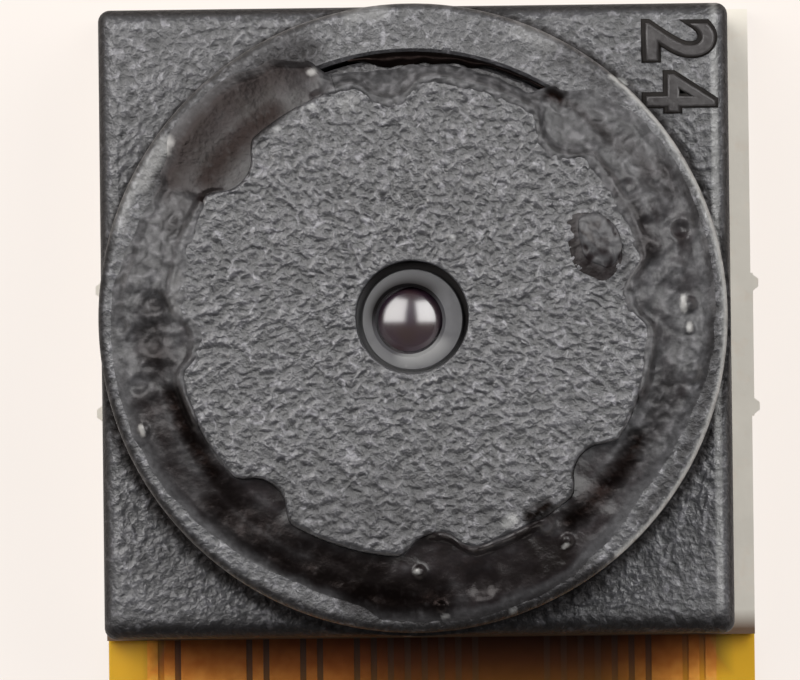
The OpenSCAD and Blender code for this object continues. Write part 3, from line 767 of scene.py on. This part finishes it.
# %% Spin the barrel and press in its grain
barrel_mesh = spin(barrel_outline, 720)
barrel_relief = barrel_mesh.verts.layers.float.new("relief")
barrel_marks = barrel_mesh.verts.layers.float_color.new("marks")
window_shift = Vector((-0.045 * mm, -0.035 * mm, 0))
ring_shift = Vector((0, -0.025 * mm, 0))
barrel_cell = 0.08 * mm
face_grain = 0.024 * mm
shoulder_grain = 0.02 * mm
for vert in barrel_mesh.verts:
    radius = math.hypot(vert.co.x, vert.co.y)
    if radius < well_radius - 0.5 * groove and vert.co.z > front_wall_low - 0.01 * mm:
        vert[barrel_marks] = well_painted_light(radius, vert.co)
        vert.co += window_shift if radius < window_radius + bevel + 0.01 * mm else ring_shift
        continue
    if vert.co.z < shoulder - 0.06 * mm or radius < well_radius - 1e-7:
        vert[barrel_marks] = (0.0, 0.0, 1.0, 1.0)
        continue
    if radius < well_radius + 1e-7:
        # The well's wall takes the groove's painted shade, fading out towards the face.
        low = ease(vert.co.z, face_height - 0.03 * mm, face_height - 0.07 * mm)
        vert[barrel_marks] = (groove_shade(vert.co) * low, 0.0, 1.0, 1.0)
        continue
    angle = math.atan2(vert.co.y, vert.co.x)
    reach = notched(angle, radius)
    x, y = reach * math.cos(angle), reach * math.sin(angle)
    height = vert.co.z
    if height > face_height - face_edge:
        depth = min(1.0, (radius - well_radius) / (0.08 * mm))
        combed = 1 - 0.3 * ease(y, 1.2 * mm, -1.2 * mm)
        bumps = depth * (eroded(x * combed, y, barrel_cell) - 0.35)
        height += face_grain * bumps
        vert[barrel_relief] = bumps
    elif height > shoulder - 1e-7 and radius > head_radius - 1e-7:
        depth = min(1.0, max(0.0, (radius - head_radius) / (0.04 * mm)))
        bumps = eroded(x, y, barrel_cell) - 0.35
        height += shoulder_grain * bumps * depth
        vert[barrel_relief] = bumps
    dark, pale = marks_and_painted_light(x, y)
    # Painted shade: the face is darker towards the bottom.
    dark = max(dark, 0.2 * ease(y, -1.2 * mm, -2.7 * mm))
    # Painted shade on the head's side and the shoulder below the face.
    if radius > head_radius - 0.02 * mm and height < face_height - 0.08 * mm:
        dark = max(dark, 0.4)
    vert[barrel_marks] = (dark, pale, 0.0, 1.0)
    vert.co = Vector((x, y, height))
finish_piece("lens_barrel_shell", barrel_mesh, barrel_plastic, ["lens_barrel"])

# %% [markdown]
# ## Coated glass
# The front lens is a small dome in the window. Its coating throws back the soft boxes as two pale
# patches, and what isn't reflected looks brown-violet over the dark inside. A high index of
# refraction in the shader stands for the coating's strong reflection.

# %% The front lens
glass, tree, output = new_material("coated_glass")
tint = ramp(tree, object_noise(tree, 2500, 1), [(0.3, (0.05, 0.022, 0.02)), (0.7, (0.04, 0.02, 0.045))])
principled(tree, output, {"Base Color": tint}, Roughness=0.2, IOR=2.4, Transmission_Weight=0.3)
lens_low, lens_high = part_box("front_lens")
dome_radius = 0.385 * mm
ball = 0.79 * mm
lean = math.degrees(math.asin(dome_radius / ball))
neck_high = lens_high.z - ball * (1 - math.cos(math.radians(lean)))
lens_outline = [(0, lens_low.z), (lens_high.x, lens_low.z), (lens_high.x, front_wall_low),
                (dome_radius, front_wall_low), (dome_radius, neck_high)]
lens_outline += rounding(0, lens_high.z - ball, ball, 90 - lean, 90, 16)[1:]
lens_mesh = spin(lens_outline, 128, closed=False)
neck_and_dome = [vert for vert in lens_mesh.verts if vert.co.z > front_wall_low + 1e-7]
bmesh.ops.translate(lens_mesh, verts=neck_and_dome, vec=window_shift)
finish_piece("front_lens_dome", lens_mesh, glass, ["front_lens"])

# %% [markdown]
# ## Thread-lock adhesive
# After focusing, the barrel was locked with dark adhesive round its head. It ran over the collar in
# places, filled some notches, and in one place stays down on the barrel's shoulder and leaves a gap.
# The bead is one closed strip, spun all the way round and then shaped point by point: a table says,
# from angle to angle, where it is wide, high, lumpy or smooth. It fades into the plastic's grey at
# its outer edge, because a thin coat is dusty and a thick one is dark.

# %% The coat of adhesive
# Each row: angle, height at the head's side (share of the face's height over the collar), reach
# across the collar (share of its top, below zero where it stays short of the collar), lumps, tone
# from brown-black 0 to dusty grey 1, and how far in millimetres it has crept onto the face. The
# angles go on past 360, and the last row meets the first one.
coat = [
    (108, 0.85, -0.25, 0.0, 0.9, 0.06), (112, 0.3, 0.3, 0.05, 0.2, 0.02), (119, 0.32, 0.7, 0.05, 0.0, 0),
    (130, 0.35, 0.95, 0.05, 0.0, 0), (141, 0.35, 0.98, 0.05, 0.0, 0), (149, 0.32, 0.6, 0.1, 0.0, 0.02),
    (152, 0.5, 0.45, 0.3, 0.5, 0.08), (162, 0.9, 0.6, 0.35, 0.95, 0.18), (175, 0.88, 0.85, 0.5, 0.8, 0.22),
    (188, 0.7, 0.9, 0.6, 0.5, 0.14), (200, 0.5, 0.9, 0.3, 0.35, 0.06), (214, 0.4, 0.85, 0.1, 0.3, 0.01),
    (222, 0.35, 0.75, 0.2, 0.2, 0), (230, 0.3, 0.66, 0.3, 0.2, 0), (246, 0.25, 0.55, 0.3, 0.15, 0),
    (258, 0.3, 0.6, 0.3, 0.1, 0), (264, 0.4, 0.9, 0.3, 0.1, 0), (281, 0.48, 0.98, 0.3, 0.1, 0.06),
    (297, 0.42, 0.95, 0.3, 0.1, 0.06), (310, 0.35, 0.75, 0.3, 0.2, 0), (322, 0.25, 0.55, 0.2, 0.35, 0),
    (336, 0.4, 0.65, 0.2, 0.65, 0.02), (352, 0.62, 0.85, 0.4, 0.6, 0.12), (362, 0.72, 0.9, 0.6, 0.5, 0.12),
    (375, 0.85, 0.92, 0.7, 0.45, 0.12), (388, 0.9, 0.95, 0.4, 0.55, 0.16), (399, 0.72, 0.92, 0.1, 0.65, 0.16),
    (410, 0.5, 0.6, 0.05, 0.7, 0.12), (417, 0.6, 0.1, 0.0, 0.8, 0.12), (423, 0.9, -0.35, 0.1, 1.0, 0.12),
    (440, 0.95, -0.3, 0.1, 1.0, 0.13), (458, 0.92, -0.45, 0.1, 1.0, 0.13),
    (467.9, 0.85, -0.28, 0.0, 0.9, 0.08)]
# Small blisters and pits: angle, distance from the axis, radius and height in millimetres.
blisters = [
    (157, 3.58, 0.10, -0.12), (171, 3.45, 0.16, 0.06), (181, 3.62, 0.07, -0.08), (176, 3.2, 0.12, -0.08),
    (202, 3.63, 0.07, 0.06), (271, 3.17, 0.07, 0.07), (275, 3.62, 0.06, 0.06), (284, 3.4, 0.16, -0.07),
    (302, 3.08, 0.09, 0.09), (304, 3.38, 0.07, 0.07), (2, 3.45, 0.07, 0.08), (357, 3.44, 0.06, 0.06),
    (17.5, 3.51, 0.15, 0.07), (17.5, 3.51, 0.09, -0.1), (9, 3.3, 0.14, 0.08), (25, 3.25, 0.2, 0.08),
    (30, 3.12, 0.1, -0.08), (348, 3.55, 0.1, 0.05), (166, 3.62, 0.05, -0.06), (193, 3.5, 0.09, -0.05)]


def coat_at(turned, column):
    """A column of the coat at an angle, eased from row to row."""
    for before, after in zip(coat, coat[1:]):
        if turned <= after[0]:
            return before[column] + (after[column] - before[column]) * ease(turned, before[0], after[0])
    return coat[-1][column]


glue_start, glue_end = coat[0][0], coat[-1][0]
print("the coat runs from", glue_start, "to", glue_end, "degrees")

# %% Adhesive material
glue, tree, output = new_material("cured_adhesive")
tone = add(tree, "ShaderNodeAttribute", attribute_name="tone")
clouded = calc(tree, "ADD", tone.outputs["Fac"], object_noise(tree, 2600, 4))
dark_to_dusty = span(tree, clouded, 0.3, 1.4)
residue_and_shade, wear_and_highlight, smooth = read_marks(tree)
grain = add(tree, "ShaderNodeGroup", node_tree=grain_group, Grain_Scale=15000)
relief = add(tree, "ShaderNodeAttribute", attribute_name="relief")
relief_height = calc(tree, "ADD", relief.outputs["Fac"], grain.outputs["Height"])
shade = ramp(tree, dark_to_dusty, [(0.1, (0.011, 0.007, 0.006)), (0.35, (0.024, 0.018, 0.019)),
                                   (0.75, (0.098, 0.096, 0.1))])
# Painted shade in the relief's hollows and painted highlights on its ridges.
shade = mix(tree, 1.0, shade, ramp(tree, relief_height, painted_relief_shading), "MULTIPLY")
# Residue and painted shade darken the adhesive, wear and painted highlights lighten it.
shade = mix(tree, wear_and_highlight, mix(tree, residue_and_shade, shade, (0.009, 0.005, 0.004)), (0.6, 0.59, 0.57))
polish = ramp(tree, dark_to_dusty, [(0.2, 0.3), (0.7, 0.42)])
principled(tree, output, {
    "Base Color": shade, "Roughness": polish, "Metallic": residue_and_shade,
    "Normal": bump(tree, object_noise(tree, 14000, 3), 0.6, 0.012 * mm)}, IOR=1.5, Specular_IOR_Level=0.55)
print(glue.name, "has", len(tree.nodes), "nodes")


# %% Height and edges of the coat
def glue_height(turned, reach, share):
    """Height of the adhesive's surface: share runs from 0 at the head's side to 1 at its outer edge."""
    angle = math.radians(turned)
    x, y = reach * math.cos(angle), reach * math.sin(angle)
    fill, lumps = coat_at(turned, 1), coat_at(turned, 3)
    proud = face_height - collar_top
    slope = (1 - share) ** 1.3
    edge_fall = min(1.0, (1 - share) / 0.2) ** 0.8
    level = 0.04 * mm * edge_fall + proud * fill * (0.12 * edge_fall + 0.88 * slope)
    wave = lumpy(x, y, 0, 0.42 * mm) + 0.5 * lumpy(x, y, 3 * mm, 0.17 * mm)
    level += edge_fall * lumps * 0.11 * mm * wave
    for at, out, size, rise in blisters:
        turn = math.radians(at)
        far = math.hypot(x - out * mm * math.cos(turn), y - out * mm * math.sin(turn)) / (size * mm)
        if far < 2.2:
            level += edge_fall * rise * mm * math.exp(-far ** 4 * 0.6)
    return collar_top + min(max(level, 0.006 * mm), proud - 0.012 * mm)


def drift(turned, every, lane):
    """A smooth random value that changes along the coat, about once in so many degrees."""
    return noise.noise(Vector((turned / every, lane, 0)))


def glue_edges(turned, side):
    """How far the coat reaches at an angle: where it meets the head, how far it has crept in over the
    face from there, and where it ends outside."""
    climb = coat_at(turned, 5) * mm * (0.85 + 0.6 * drift(turned, 5, 2))
    outer = bore_radius + 0.02 * mm + coat_at(turned, 2) * (collar_radius - bore_radius - rim)
    outer += 0.03 * mm * drift(turned, 4, 0)
    return side + 0.01 * mm, climb, min(outer, collar_radius - 0.5 * rim)


# %% Turn and shape the coat
across = 42
top_row, sunk_row = 1, 0
bead_outline = [(3 + i / across, top_row) for i in range(across + 1)]
bead_outline += [(4, sunk_row), (3.5, sunk_row), (3.5, -1), (3, -1)]
bead_mesh = spin([(r * mm, z * mm) for r, z in bead_outline], 860, glue_end - glue_start, glue_start)
tone_layer = bead_mesh.verts.layers.float.new("tone")
bead_relief = bead_mesh.verts.layers.float.new("relief")
bead_marks = bead_mesh.verts.layers.float_color.new("marks")
for vert in bead_mesh.verts:
    angle = math.atan2(vert.co.y, vert.co.x)
    turned = (math.degrees(angle) - glue_start + 0.1) % 360 + glue_start - 0.1
    place = min(1.0, max(0.0, math.hypot(vert.co.x, vert.co.y) / mm - 3))
    inner, climb, outer = glue_edges(turned, soft_side(angle))
    row = round(vert.co.z / mm)
    if row == top_row:
        reach = inner - climb + (outer - inner + climb) * place
        share = min(1.0, max(0.0, (reach - inner) / (outer - inner)))
        level = glue_height(turned, reach, share)
        crept = min(1.0, max(0.0, (inner - reach) / max(climb, 1e-9)))
        film_level = face_height + 0.012 * mm - 0.05 * mm * crept ** 3
        covers = ease(climb, 0.005 * mm, 0.05 * mm) * ease(reach, inner + 0.1 * mm, inner)
        level += (film_level - level) * covers
        x, y = reach * math.cos(angle), reach * math.sin(angle)
        lump = 0.6 * lumpy(x, y, 7 * mm, 0.25 * mm)
        lump += 0.7 * noise.noise(Vector((turned / 12, reach / (0.09 * mm), 4)))
        faded = ease(share, 0.72, 1.0)
        dusty = coat_at(turned, 4) + 0.25 * lump
        vert[tone_layer] = dusty + (0.9 - dusty) * max(0.8 * faded, 0.6 * ease(crept, 0.2, 1.0))
        vert[bead_marks] = (*marks_and_painted_light(x, y), 0.0, 1.0)
        vert[bead_relief] = ease(dusty, 0.1, 0.8) * (eroded(x, y, grain_cell) - 0.3)
        level += 0.018 * mm * (1 - faded) * vert[bead_relief]
    else:
        in_bore = abs(place - 0.5) < 0.01
        reach = min(outer, bore_radius - 0.02 * mm) if in_bore else inner + (outer - inner) * place
        level = collar_top - 0.02 * mm if row == sunk_row else shoulder + 0.005 * mm
    vert.co = Vector((reach * math.cos(angle), reach * math.sin(angle), level))
bmesh.ops.holes_fill(bead_mesh, edges=[e for e in bead_mesh.edges if e.is_boundary], sides=0)
finish_piece("adhesive_bead", bead_mesh, glue, ["thread_lock_adhesive"])

# %% [markdown]
# ## A dark sliver and a drop
# A near-black sliver lies in the gap, against the bore's wall: a dark piece put where the gap is in
# shade, painted near-black. One separate drop of adhesive sits on the face, and its low foot carries
# its painted shadow. Both start as a spun outline, a thin arc and a full dome, and a function then
# moves each of their points to its place. Painted shade and tone go on first, while a point's height
# still tells what it belongs to.

# %% Where the points of both dabs go
sliver_start, sliver_end = 57.5, 103.5


def sliver_point(vert):
    """Lays the sliver in the gap: thin at its ends, and against the bore's wall all along."""
    angle = math.atan2(vert.co.y, vert.co.x)
    turned = math.degrees(angle)
    taper = min(1.0, (turned - sliver_start) / 5, (sliver_end - turned) / 5)
    belly = math.exp(-((turned - 92) / 7) ** 2) + 0.45 * math.exp(-((turned - 80) / 5) ** 2)
    wide = (0.02 + 0.045 * taper + 0.13 * belly) * mm
    wide *= 1 + 0.5 * noise.noise(Vector((angle * 14, 1, 0)))
    place = math.hypot(vert.co.x, vert.co.y) / mm - 3
    reach = bore_radius + 0.01 * mm - wide * (1 - place)
    rise = (0.02 + 0.05 * math.sin(place * math.pi)) * taper * mm
    if vert.co.z < 0.5 * mm:
        rise = -0.005 * mm
    return Vector((reach * math.cos(angle), reach * math.sin(angle), shoulder + rise))


drop_turn = math.radians(22)
drop_x, drop_y = 2.54 * mm * math.cos(drop_turn), 2.54 * mm * math.sin(drop_turn)


def drop_point(vert):
    """Sets the drop on the face, a little lopsided, with its foot, dark with painted shadow, drawn
    out to one side.
    """
    angle = math.atan2(vert.co.y, vert.co.x)
    radius = math.hypot(vert.co.x, vert.co.y)
    radius *= 1 + 0.16 * noise.noise(Vector((math.cos(angle), math.sin(angle), 4)) * 1.3)
    drawn = max(0.0, radius - 0.25 * mm)
    x, y = radius * math.cos(angle), radius * math.sin(angle)
    x, y = drop_x + x - 0.3 * y - drawn, drop_y + 1.2 * y - drawn
    on_top = ease(vert.co.z, face_height, face_height + 0.04 * mm)
    return Vector((x, y, vert.co.z + 0.03 * mm * on_top * (eroded(x, y, 0.1 * mm) - 0.5)))


# %% Spin a sliver for the gap and a drop for the face
face = face_height / mm
sliver_outline = [(3 + i / 12, 1) for i in range(13)] + [(4, 0), (3, 0)]
dome_angles = [math.pi * i / 24 for i in range(1, 13)]
drop_outline = [(0, face + 0.11)]
drop_outline += [(0.27 * math.sin(a), face + 0.015 + 0.095 * math.cos(a)) for a in dome_angles]
drop_outline += [(0.3, face + 0.006), (0.34, face + 0.001), (0.34, face - 0.03), (0, face - 0.03)]
# Each dab: outline, steps, turn and start in degrees, whether the outline is closed, painted shade,
# mover.
sliver_turn = sliver_end - sliver_start
dabs = {
    "adhesive_sliver": (sliver_outline, 120, sliver_turn, sliver_start, True, 0.9, sliver_point),
    "adhesive_drop": (drop_outline, 96, 360, 0, False, 0.35, drop_point),
}
for name, (outline, steps, turn, start, closed, painted_shade_below, put) in dabs.items():
    dab = spin([(r * mm, z * mm) for r, z in outline], steps, turn, start, closed)
    dab_tone = dab.verts.layers.float.new("tone")
    dab_marks = dab.verts.layers.float_color.new("marks")
    for vert in dab.verts:
        on_top = ease(vert.co.z, face_height - 0.01 * mm, face_height + 0.04 * mm)
        # Painted shade on each dab's low part, below the top of the face.
        vert[dab_marks] = (painted_shade_below * (1 - on_top), 0.0, 0.0, 1.0)
        vert[dab_tone] = on_top * (0.6 + 0.8 * noise.noise(vert.co / (0.09 * mm)))
        vert.co = put(vert)
    bmesh.ops.holes_fill(dab, edges=[e for e in dab.edges if e.is_boundary], sides=0)
    finish_piece(name, dab, glue)

# %% [markdown]
# ## The corner number
# Mould makers cut a cavity number into each impression, and it comes out on the part. Here it is a
# pair of plain digits in the corner that the collar leaves free. Each is a low ridge, over a wider
# and flatter copy of itself in a near-black finish, set a little to one side: the digit's painted
# shadow.

# %% Digits in the corner
polished, tree, output = new_material("polished_plastic")
mottle = ramp(tree, object_noise(tree, 9000, 2), [(0.3, (0.05, 0.045, 0.045)), (0.7, (0.085, 0.08, 0.08))])
skin = bump(tree, object_noise(tree, 14000, 2), 0.6, 0.012 * mm)
principled(tree, output, {"Base Color": mottle, "Normal": skin}, Roughness=0.3)


def digit(name, text, x, y, stretch, spread, rise, material):
    """A digit, turned a quarter, as a low rounded ridge on the base's top. Spread widens its strokes."""
    curve = bpy.data.curves.new(name, "FONT")
    curve.body = text
    curve.size = 1.2 * mm
    curve.align_x = curve.align_y = "CENTER"
    curve.offset = spread
    curve.extrude = rise
    curve.bevel_depth = 0.03 * mm
    curve.bevel_resolution = 3
    maker = bpy.data.objects.new(name, curve)
    scene.collection.objects.link(maker)
    data = bpy.data.meshes.new_from_object(maker.evaluated_get(bpy.context.evaluated_depsgraph_get()))
    bpy.data.objects.remove(maker)
    mesh = bmesh.new()
    mesh.from_mesh(data)
    bmesh.ops.scale(mesh, verts=mesh.verts, vec=(stretch, 1, 1))
    quarter = Matrix.Rotation(math.radians(-90), 3, "Z")
    bmesh.ops.rotate(mesh, verts=mesh.verts, cent=(0, 0, 0), matrix=quarter)
    bmesh.ops.translate(mesh, verts=mesh.verts, vec=(x, y, base_top + 0.004 * mm))
    bmesh.ops.remove_doubles(mesh, verts=mesh.verts, dist=1e-7)
    finish_piece(name, mesh, material, smooth=False)


# Painted shadows: near-black copies under the digits.
shadow = plain_finish("corner_residue", (0.008, 0.006, 0.005), (0.02, 0.017, 0.015), 0.6,
                      Specular_IOR_Level=0.2)
for label, text, y, stretch in (("top", "2", 3.5, 0.85), ("low", "4", 2.84, 0.8)):
    digit("corner_number_" + label, text, 3.34 * mm, y * mm, stretch, -0.006 * mm, 0.02 * mm, polished)
    digit("corner_shadow_" + label, text, 3.33 * mm, (y + 0.015) * mm, stretch, 0.04 * mm, 0.0, shadow)

# %% [markdown]
# ## Board, film and metal
# The rest of the module keeps its solids and gets finishes: a pale laminate with glass fibres in its
# cut edge, amber polyimide that lets the copper through, gold on the contacts and rolled steel on
# the back.

# %% Laminate
laminate, tree, output = new_material("board_laminate")
layers = over_object(tree, "ShaderNodeTexWave", wave_type="BANDS", bands_direction="Z", Scale=5500.0,
                     Distortion=2.0, Detail=2.0).outputs["Fac"]
fibre = ramp(tree, layers, [(0.2, (1.0, 0.9, 0.76)), (0.8, (1.0, 0.94, 0.82))])
stain_and_shade = ramp(tree, object_noise(tree, 1300, 3), [(0.4, 0.93), (0.65, 1.0)])
# Painted shade: the board's edge on the tail's side is darkened brown, where the head shades it.
shade_toward_tail = span(tree, object_axis(tree, "Y"), -4.05 * mm, -3.7 * mm)
stain_and_shade = mix(tree, 1.0, stain_and_shade, ramp(tree, shade_toward_tail, [(0.2, (0.16, 0.08, 0.03)), (0.9, 1.0)]), "MULTIPLY")
principled(tree, output, {"Base Color": mix(tree, 1.0, fibre, stain_and_shade, "MULTIPLY"),
                          "Normal": bump(tree, layers, 0.3, 0.01 * mm)}, Roughness=0.42, IOR=1.7)
print(laminate.name, "has", len(tree.nodes), "nodes")


# %% Films
def across_tail(tree):
    """0 at the tail's left edge, 1 at its right edge."""
    return span(tree, object_axis(tree, "X"), -4.1 * mm, 4.3 * mm)


def painted_head_shadow(tree):
    """Painted shadow of the head: dark where the tail comes out from under it, but not at its two
    lit borders.
    """
    away = span(tree, object_axis(tree, "Y"), -4.05 * mm, -4.75 * mm)
    shaded = ramp(tree, away, [(0.1, (0.3, 0.2, 0.16)), (0.45, (0.55, 0.42, 0.36)), (0.8, 1.0)])
    borders = ramp(tree, across_tail(tree), [(0.05, 1.0), (0.1, 0.0), (0.92, 0.0), (0.97, 1.0)])
    return mix(tree, 1.0, shaded, borders, "LIGHTEN")


def film(name, thin, thick, alpha, roughness, stops=()):
    """Amber polyimide film: its tone drifts slowly and fine waves break its gloss. The stops darken it
    across the tail, where copper on both sides keeps the light from coming through."""
    material, tree, output = new_material(name)
    tone = ramp(tree, object_noise(tree, 700, 2), [(0.35, thin), (0.65, thick)])
    if stops:
        tone = mix(tree, 1.0, tone, ramp(tree, across_tail(tree), stops), "MULTIPLY")
    # The head's painted shadow over the film.
    tone = mix(tree, 1.0, tone, painted_head_shadow(tree), "MULTIPLY")
    waves = bump(tree, object_noise(tree, 5000, 2), 0.15, 0.01 * mm)
    principled(tree, output, {"Base Color": tone, "Normal": waves}, Roughness=roughness, Alpha=alpha)
    return material


# From 0 to 1 across the tail. Light comes through real film at its two bare edges, and copper stops
# it between them, so this film's colour is written brighter at the edges.
lit_edges = [(0.065, 1.0), (0.085, (0.8, 0.5, 0.3)), (0.11, (0.13, 0.05, 0.04)), (0.5, (0.08, 0.03, 0.03)),
             (0.84, (0.13, 0.05, 0.04)), (0.91, (0.8, 0.6, 0.4)), (0.95, 1.0)]
cover_film = film("cover_film", (0.95, 0.45, 0.03), (0.85, 0.36, 0.02), 0.08, 0.25)
base_film = film("base_film", (1.0, 0.64, 0.02), (1.0, 0.58, 0.015), 1.0, 0.3, lit_edges)
stiff_film = film("stiff_film", (0.8, 0.42, 0.05), (0.72, 0.35, 0.04), 1.0, 0.3)
print("films:", cover_film.name, base_film.name, stiff_film.name)


# %% The cover film over the traces
# The solid's hollows fit the traces exactly, and two faces in one place flicker. This copy is flat
# below, a few thousandths of a millimetre above the copper.
cover_mesh = bmesh.new()
cover_mesh.from_mesh(frame["nodes"]["top_coverlay"].data)
cover_mesh.transform(frame["nodes"]["top_coverlay"].matrix_world)
copper_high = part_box("copper_traces")[1].z
for vert in cover_mesh.verts:
    if vert.co.z < copper_high + 0.004 * mm:
        vert.co.z = copper_high + 0.004 * mm
bmesh.ops.remove_doubles(cover_mesh, verts=cover_mesh.verts, dist=1e-7)
bmesh.ops.dissolve_degenerate(cover_mesh, edges=cover_mesh.edges, dist=1e-8)
finish_piece("cover_film_top", cover_mesh, cover_film, ["top_coverlay"], smooth=False)


# %% Metals
def metal(name, bright, dull, roughness, scratch_scale=(1, 1, 1), scratch=6000.0):
    """A metal whose tone and gloss change along scratches or grain."""
    material, tree, output = new_material(name)
    stretch = over_object(tree, "ShaderNodeMapping", Scale=scratch_scale).outputs[0]
    lines = add(tree, "ShaderNodeTexNoise", {"Vector": stretch}, Scale=scratch, Detail=4.0).outputs["Fac"]
    colour = ramp(tree, lines, [(0.35, dull), (0.65, bright)])
    gloss = ramp(tree, lines, [(0.3, roughness + 0.12), (0.7, roughness)])
    principled(tree, output, {"Base Color": colour, "Roughness": gloss,
                              "Normal": bump(tree, lines, 0.15, 0.004 * mm)}, Metallic=1.0)
    return material


copper = metal("etched_copper", (1.0, 0.52, 0.13), (0.84, 0.38, 0.08), 0.4)
tree = copper.node_tree
shader = next(node for node in tree.nodes if node.type == "BSDF_PRINCIPLED")
shader.inputs["Metallic"].default_value = 0.6
plain_copper = shader.inputs["Base Color"].links[0].from_socket
# Painted shade across the tail: the copper is painted dark in the middle, where the head shades it, and
# lighter than its own colour near both edges.
painted_shade_across_tail = ramp(tree, across_tail(tree), [
    (0.06, (1.5, 1.3, 0.7)), (0.1, (1.3, 1.1, 0.8)), (0.2, (0.95, 0.75, 0.6)), (0.36, (0.6, 0.36, 0.25)),
    (0.45, (0.16, 0.06, 0.05)), (0.76, (0.13, 0.06, 0.05)), (0.86, (0.8, 0.6, 0.42)),
    (0.92, (1.2, 1.1, 0.8))])
shaded_copper = mix(tree, 1.0, plain_copper, painted_shade_across_tail, "MULTIPLY")
tree.links.new(mix(tree, 1.0, shaded_copper, painted_head_shadow(tree), "MULTIPLY"), shader.inputs["Base Color"])
gold = metal("gold_plate", (0.95, 0.7, 0.3), (0.86, 0.58, 0.22), 0.22, (6, 0.3, 1))
steel = metal("rolled_steel", (0.72, 0.72, 0.7), (0.58, 0.58, 0.57), 0.3, (1, 0.06, 1), 9000)
tin = metal("tin_plate", (0.74, 0.74, 0.76), (0.6, 0.6, 0.62), 0.35)
print("metals:", copper.name, gold.name, steel.name, tin.name)


# %% Small inner finishes
black_film = plain_finish("black_film", (0.01, 0.01, 0.01), (0.02, 0.02, 0.02), 0.6)
bond = plain_finish("bond_adhesive", (0.02, 0.018, 0.018), (0.04, 0.036, 0.034), 0.45)
silicon = plain_finish("silicon", (0.1, 0.09, 0.14), (0.14, 0.13, 0.18), 0.12, Metallic=0.6)
ceramic = plain_finish("capacitor_ceramic", (0.28, 0.17, 0.1), (0.36, 0.24, 0.15), 0.5)
clear_glass = plain_finish("clear_glass", (0.82, 0.88, 0.88), (0.9, 0.94, 0.93), 0.03,
                           Transmission_Weight=1.0)
filter_glass = plain_finish("filter_glass", (0.5, 0.72, 0.74), (0.6, 0.8, 0.8), 0.03,
                            Transmission_Weight=1.0)

# %% Dress the nodes that keep their solids
finishes = {
    "aperture_stop": black_film, "middle_lens": clear_glass, "lens_spacer": black_film,
    "rear_lens": clear_glass, "lens_retainer": black_film, "infrared_filter": filter_glass,
    "sensor_cover_glass": clear_glass, "sensor_dam": black_film, "sensor_die": silicon,
    "solder_balls": tin, "capacitor_bodies": ceramic, "capacitor_terminals": tin,
    "head_board": laminate, "holder_adhesive": bond, "back_stiffener": steel,
    "bottom_coverlay": stiff_film, "flex_base": base_film, "copper_traces": copper,
    "contact_fingers": gold, "contact_stiffener": stiff_film,
}
for node_name, material in finishes.items():
    for slot in frame["nodes"][node_name].material_slots:
        slot.material = material
print("dressed", len(finishes), "nodes")

# %% [markdown]
# ## The dressed model's box
# Its corners are printed in millimetres.

# %% Write the sizes
low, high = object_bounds()
print("visual box in mm", [round(v / mm, 3) for v in low], [round(v / mm, 3) for v in high])
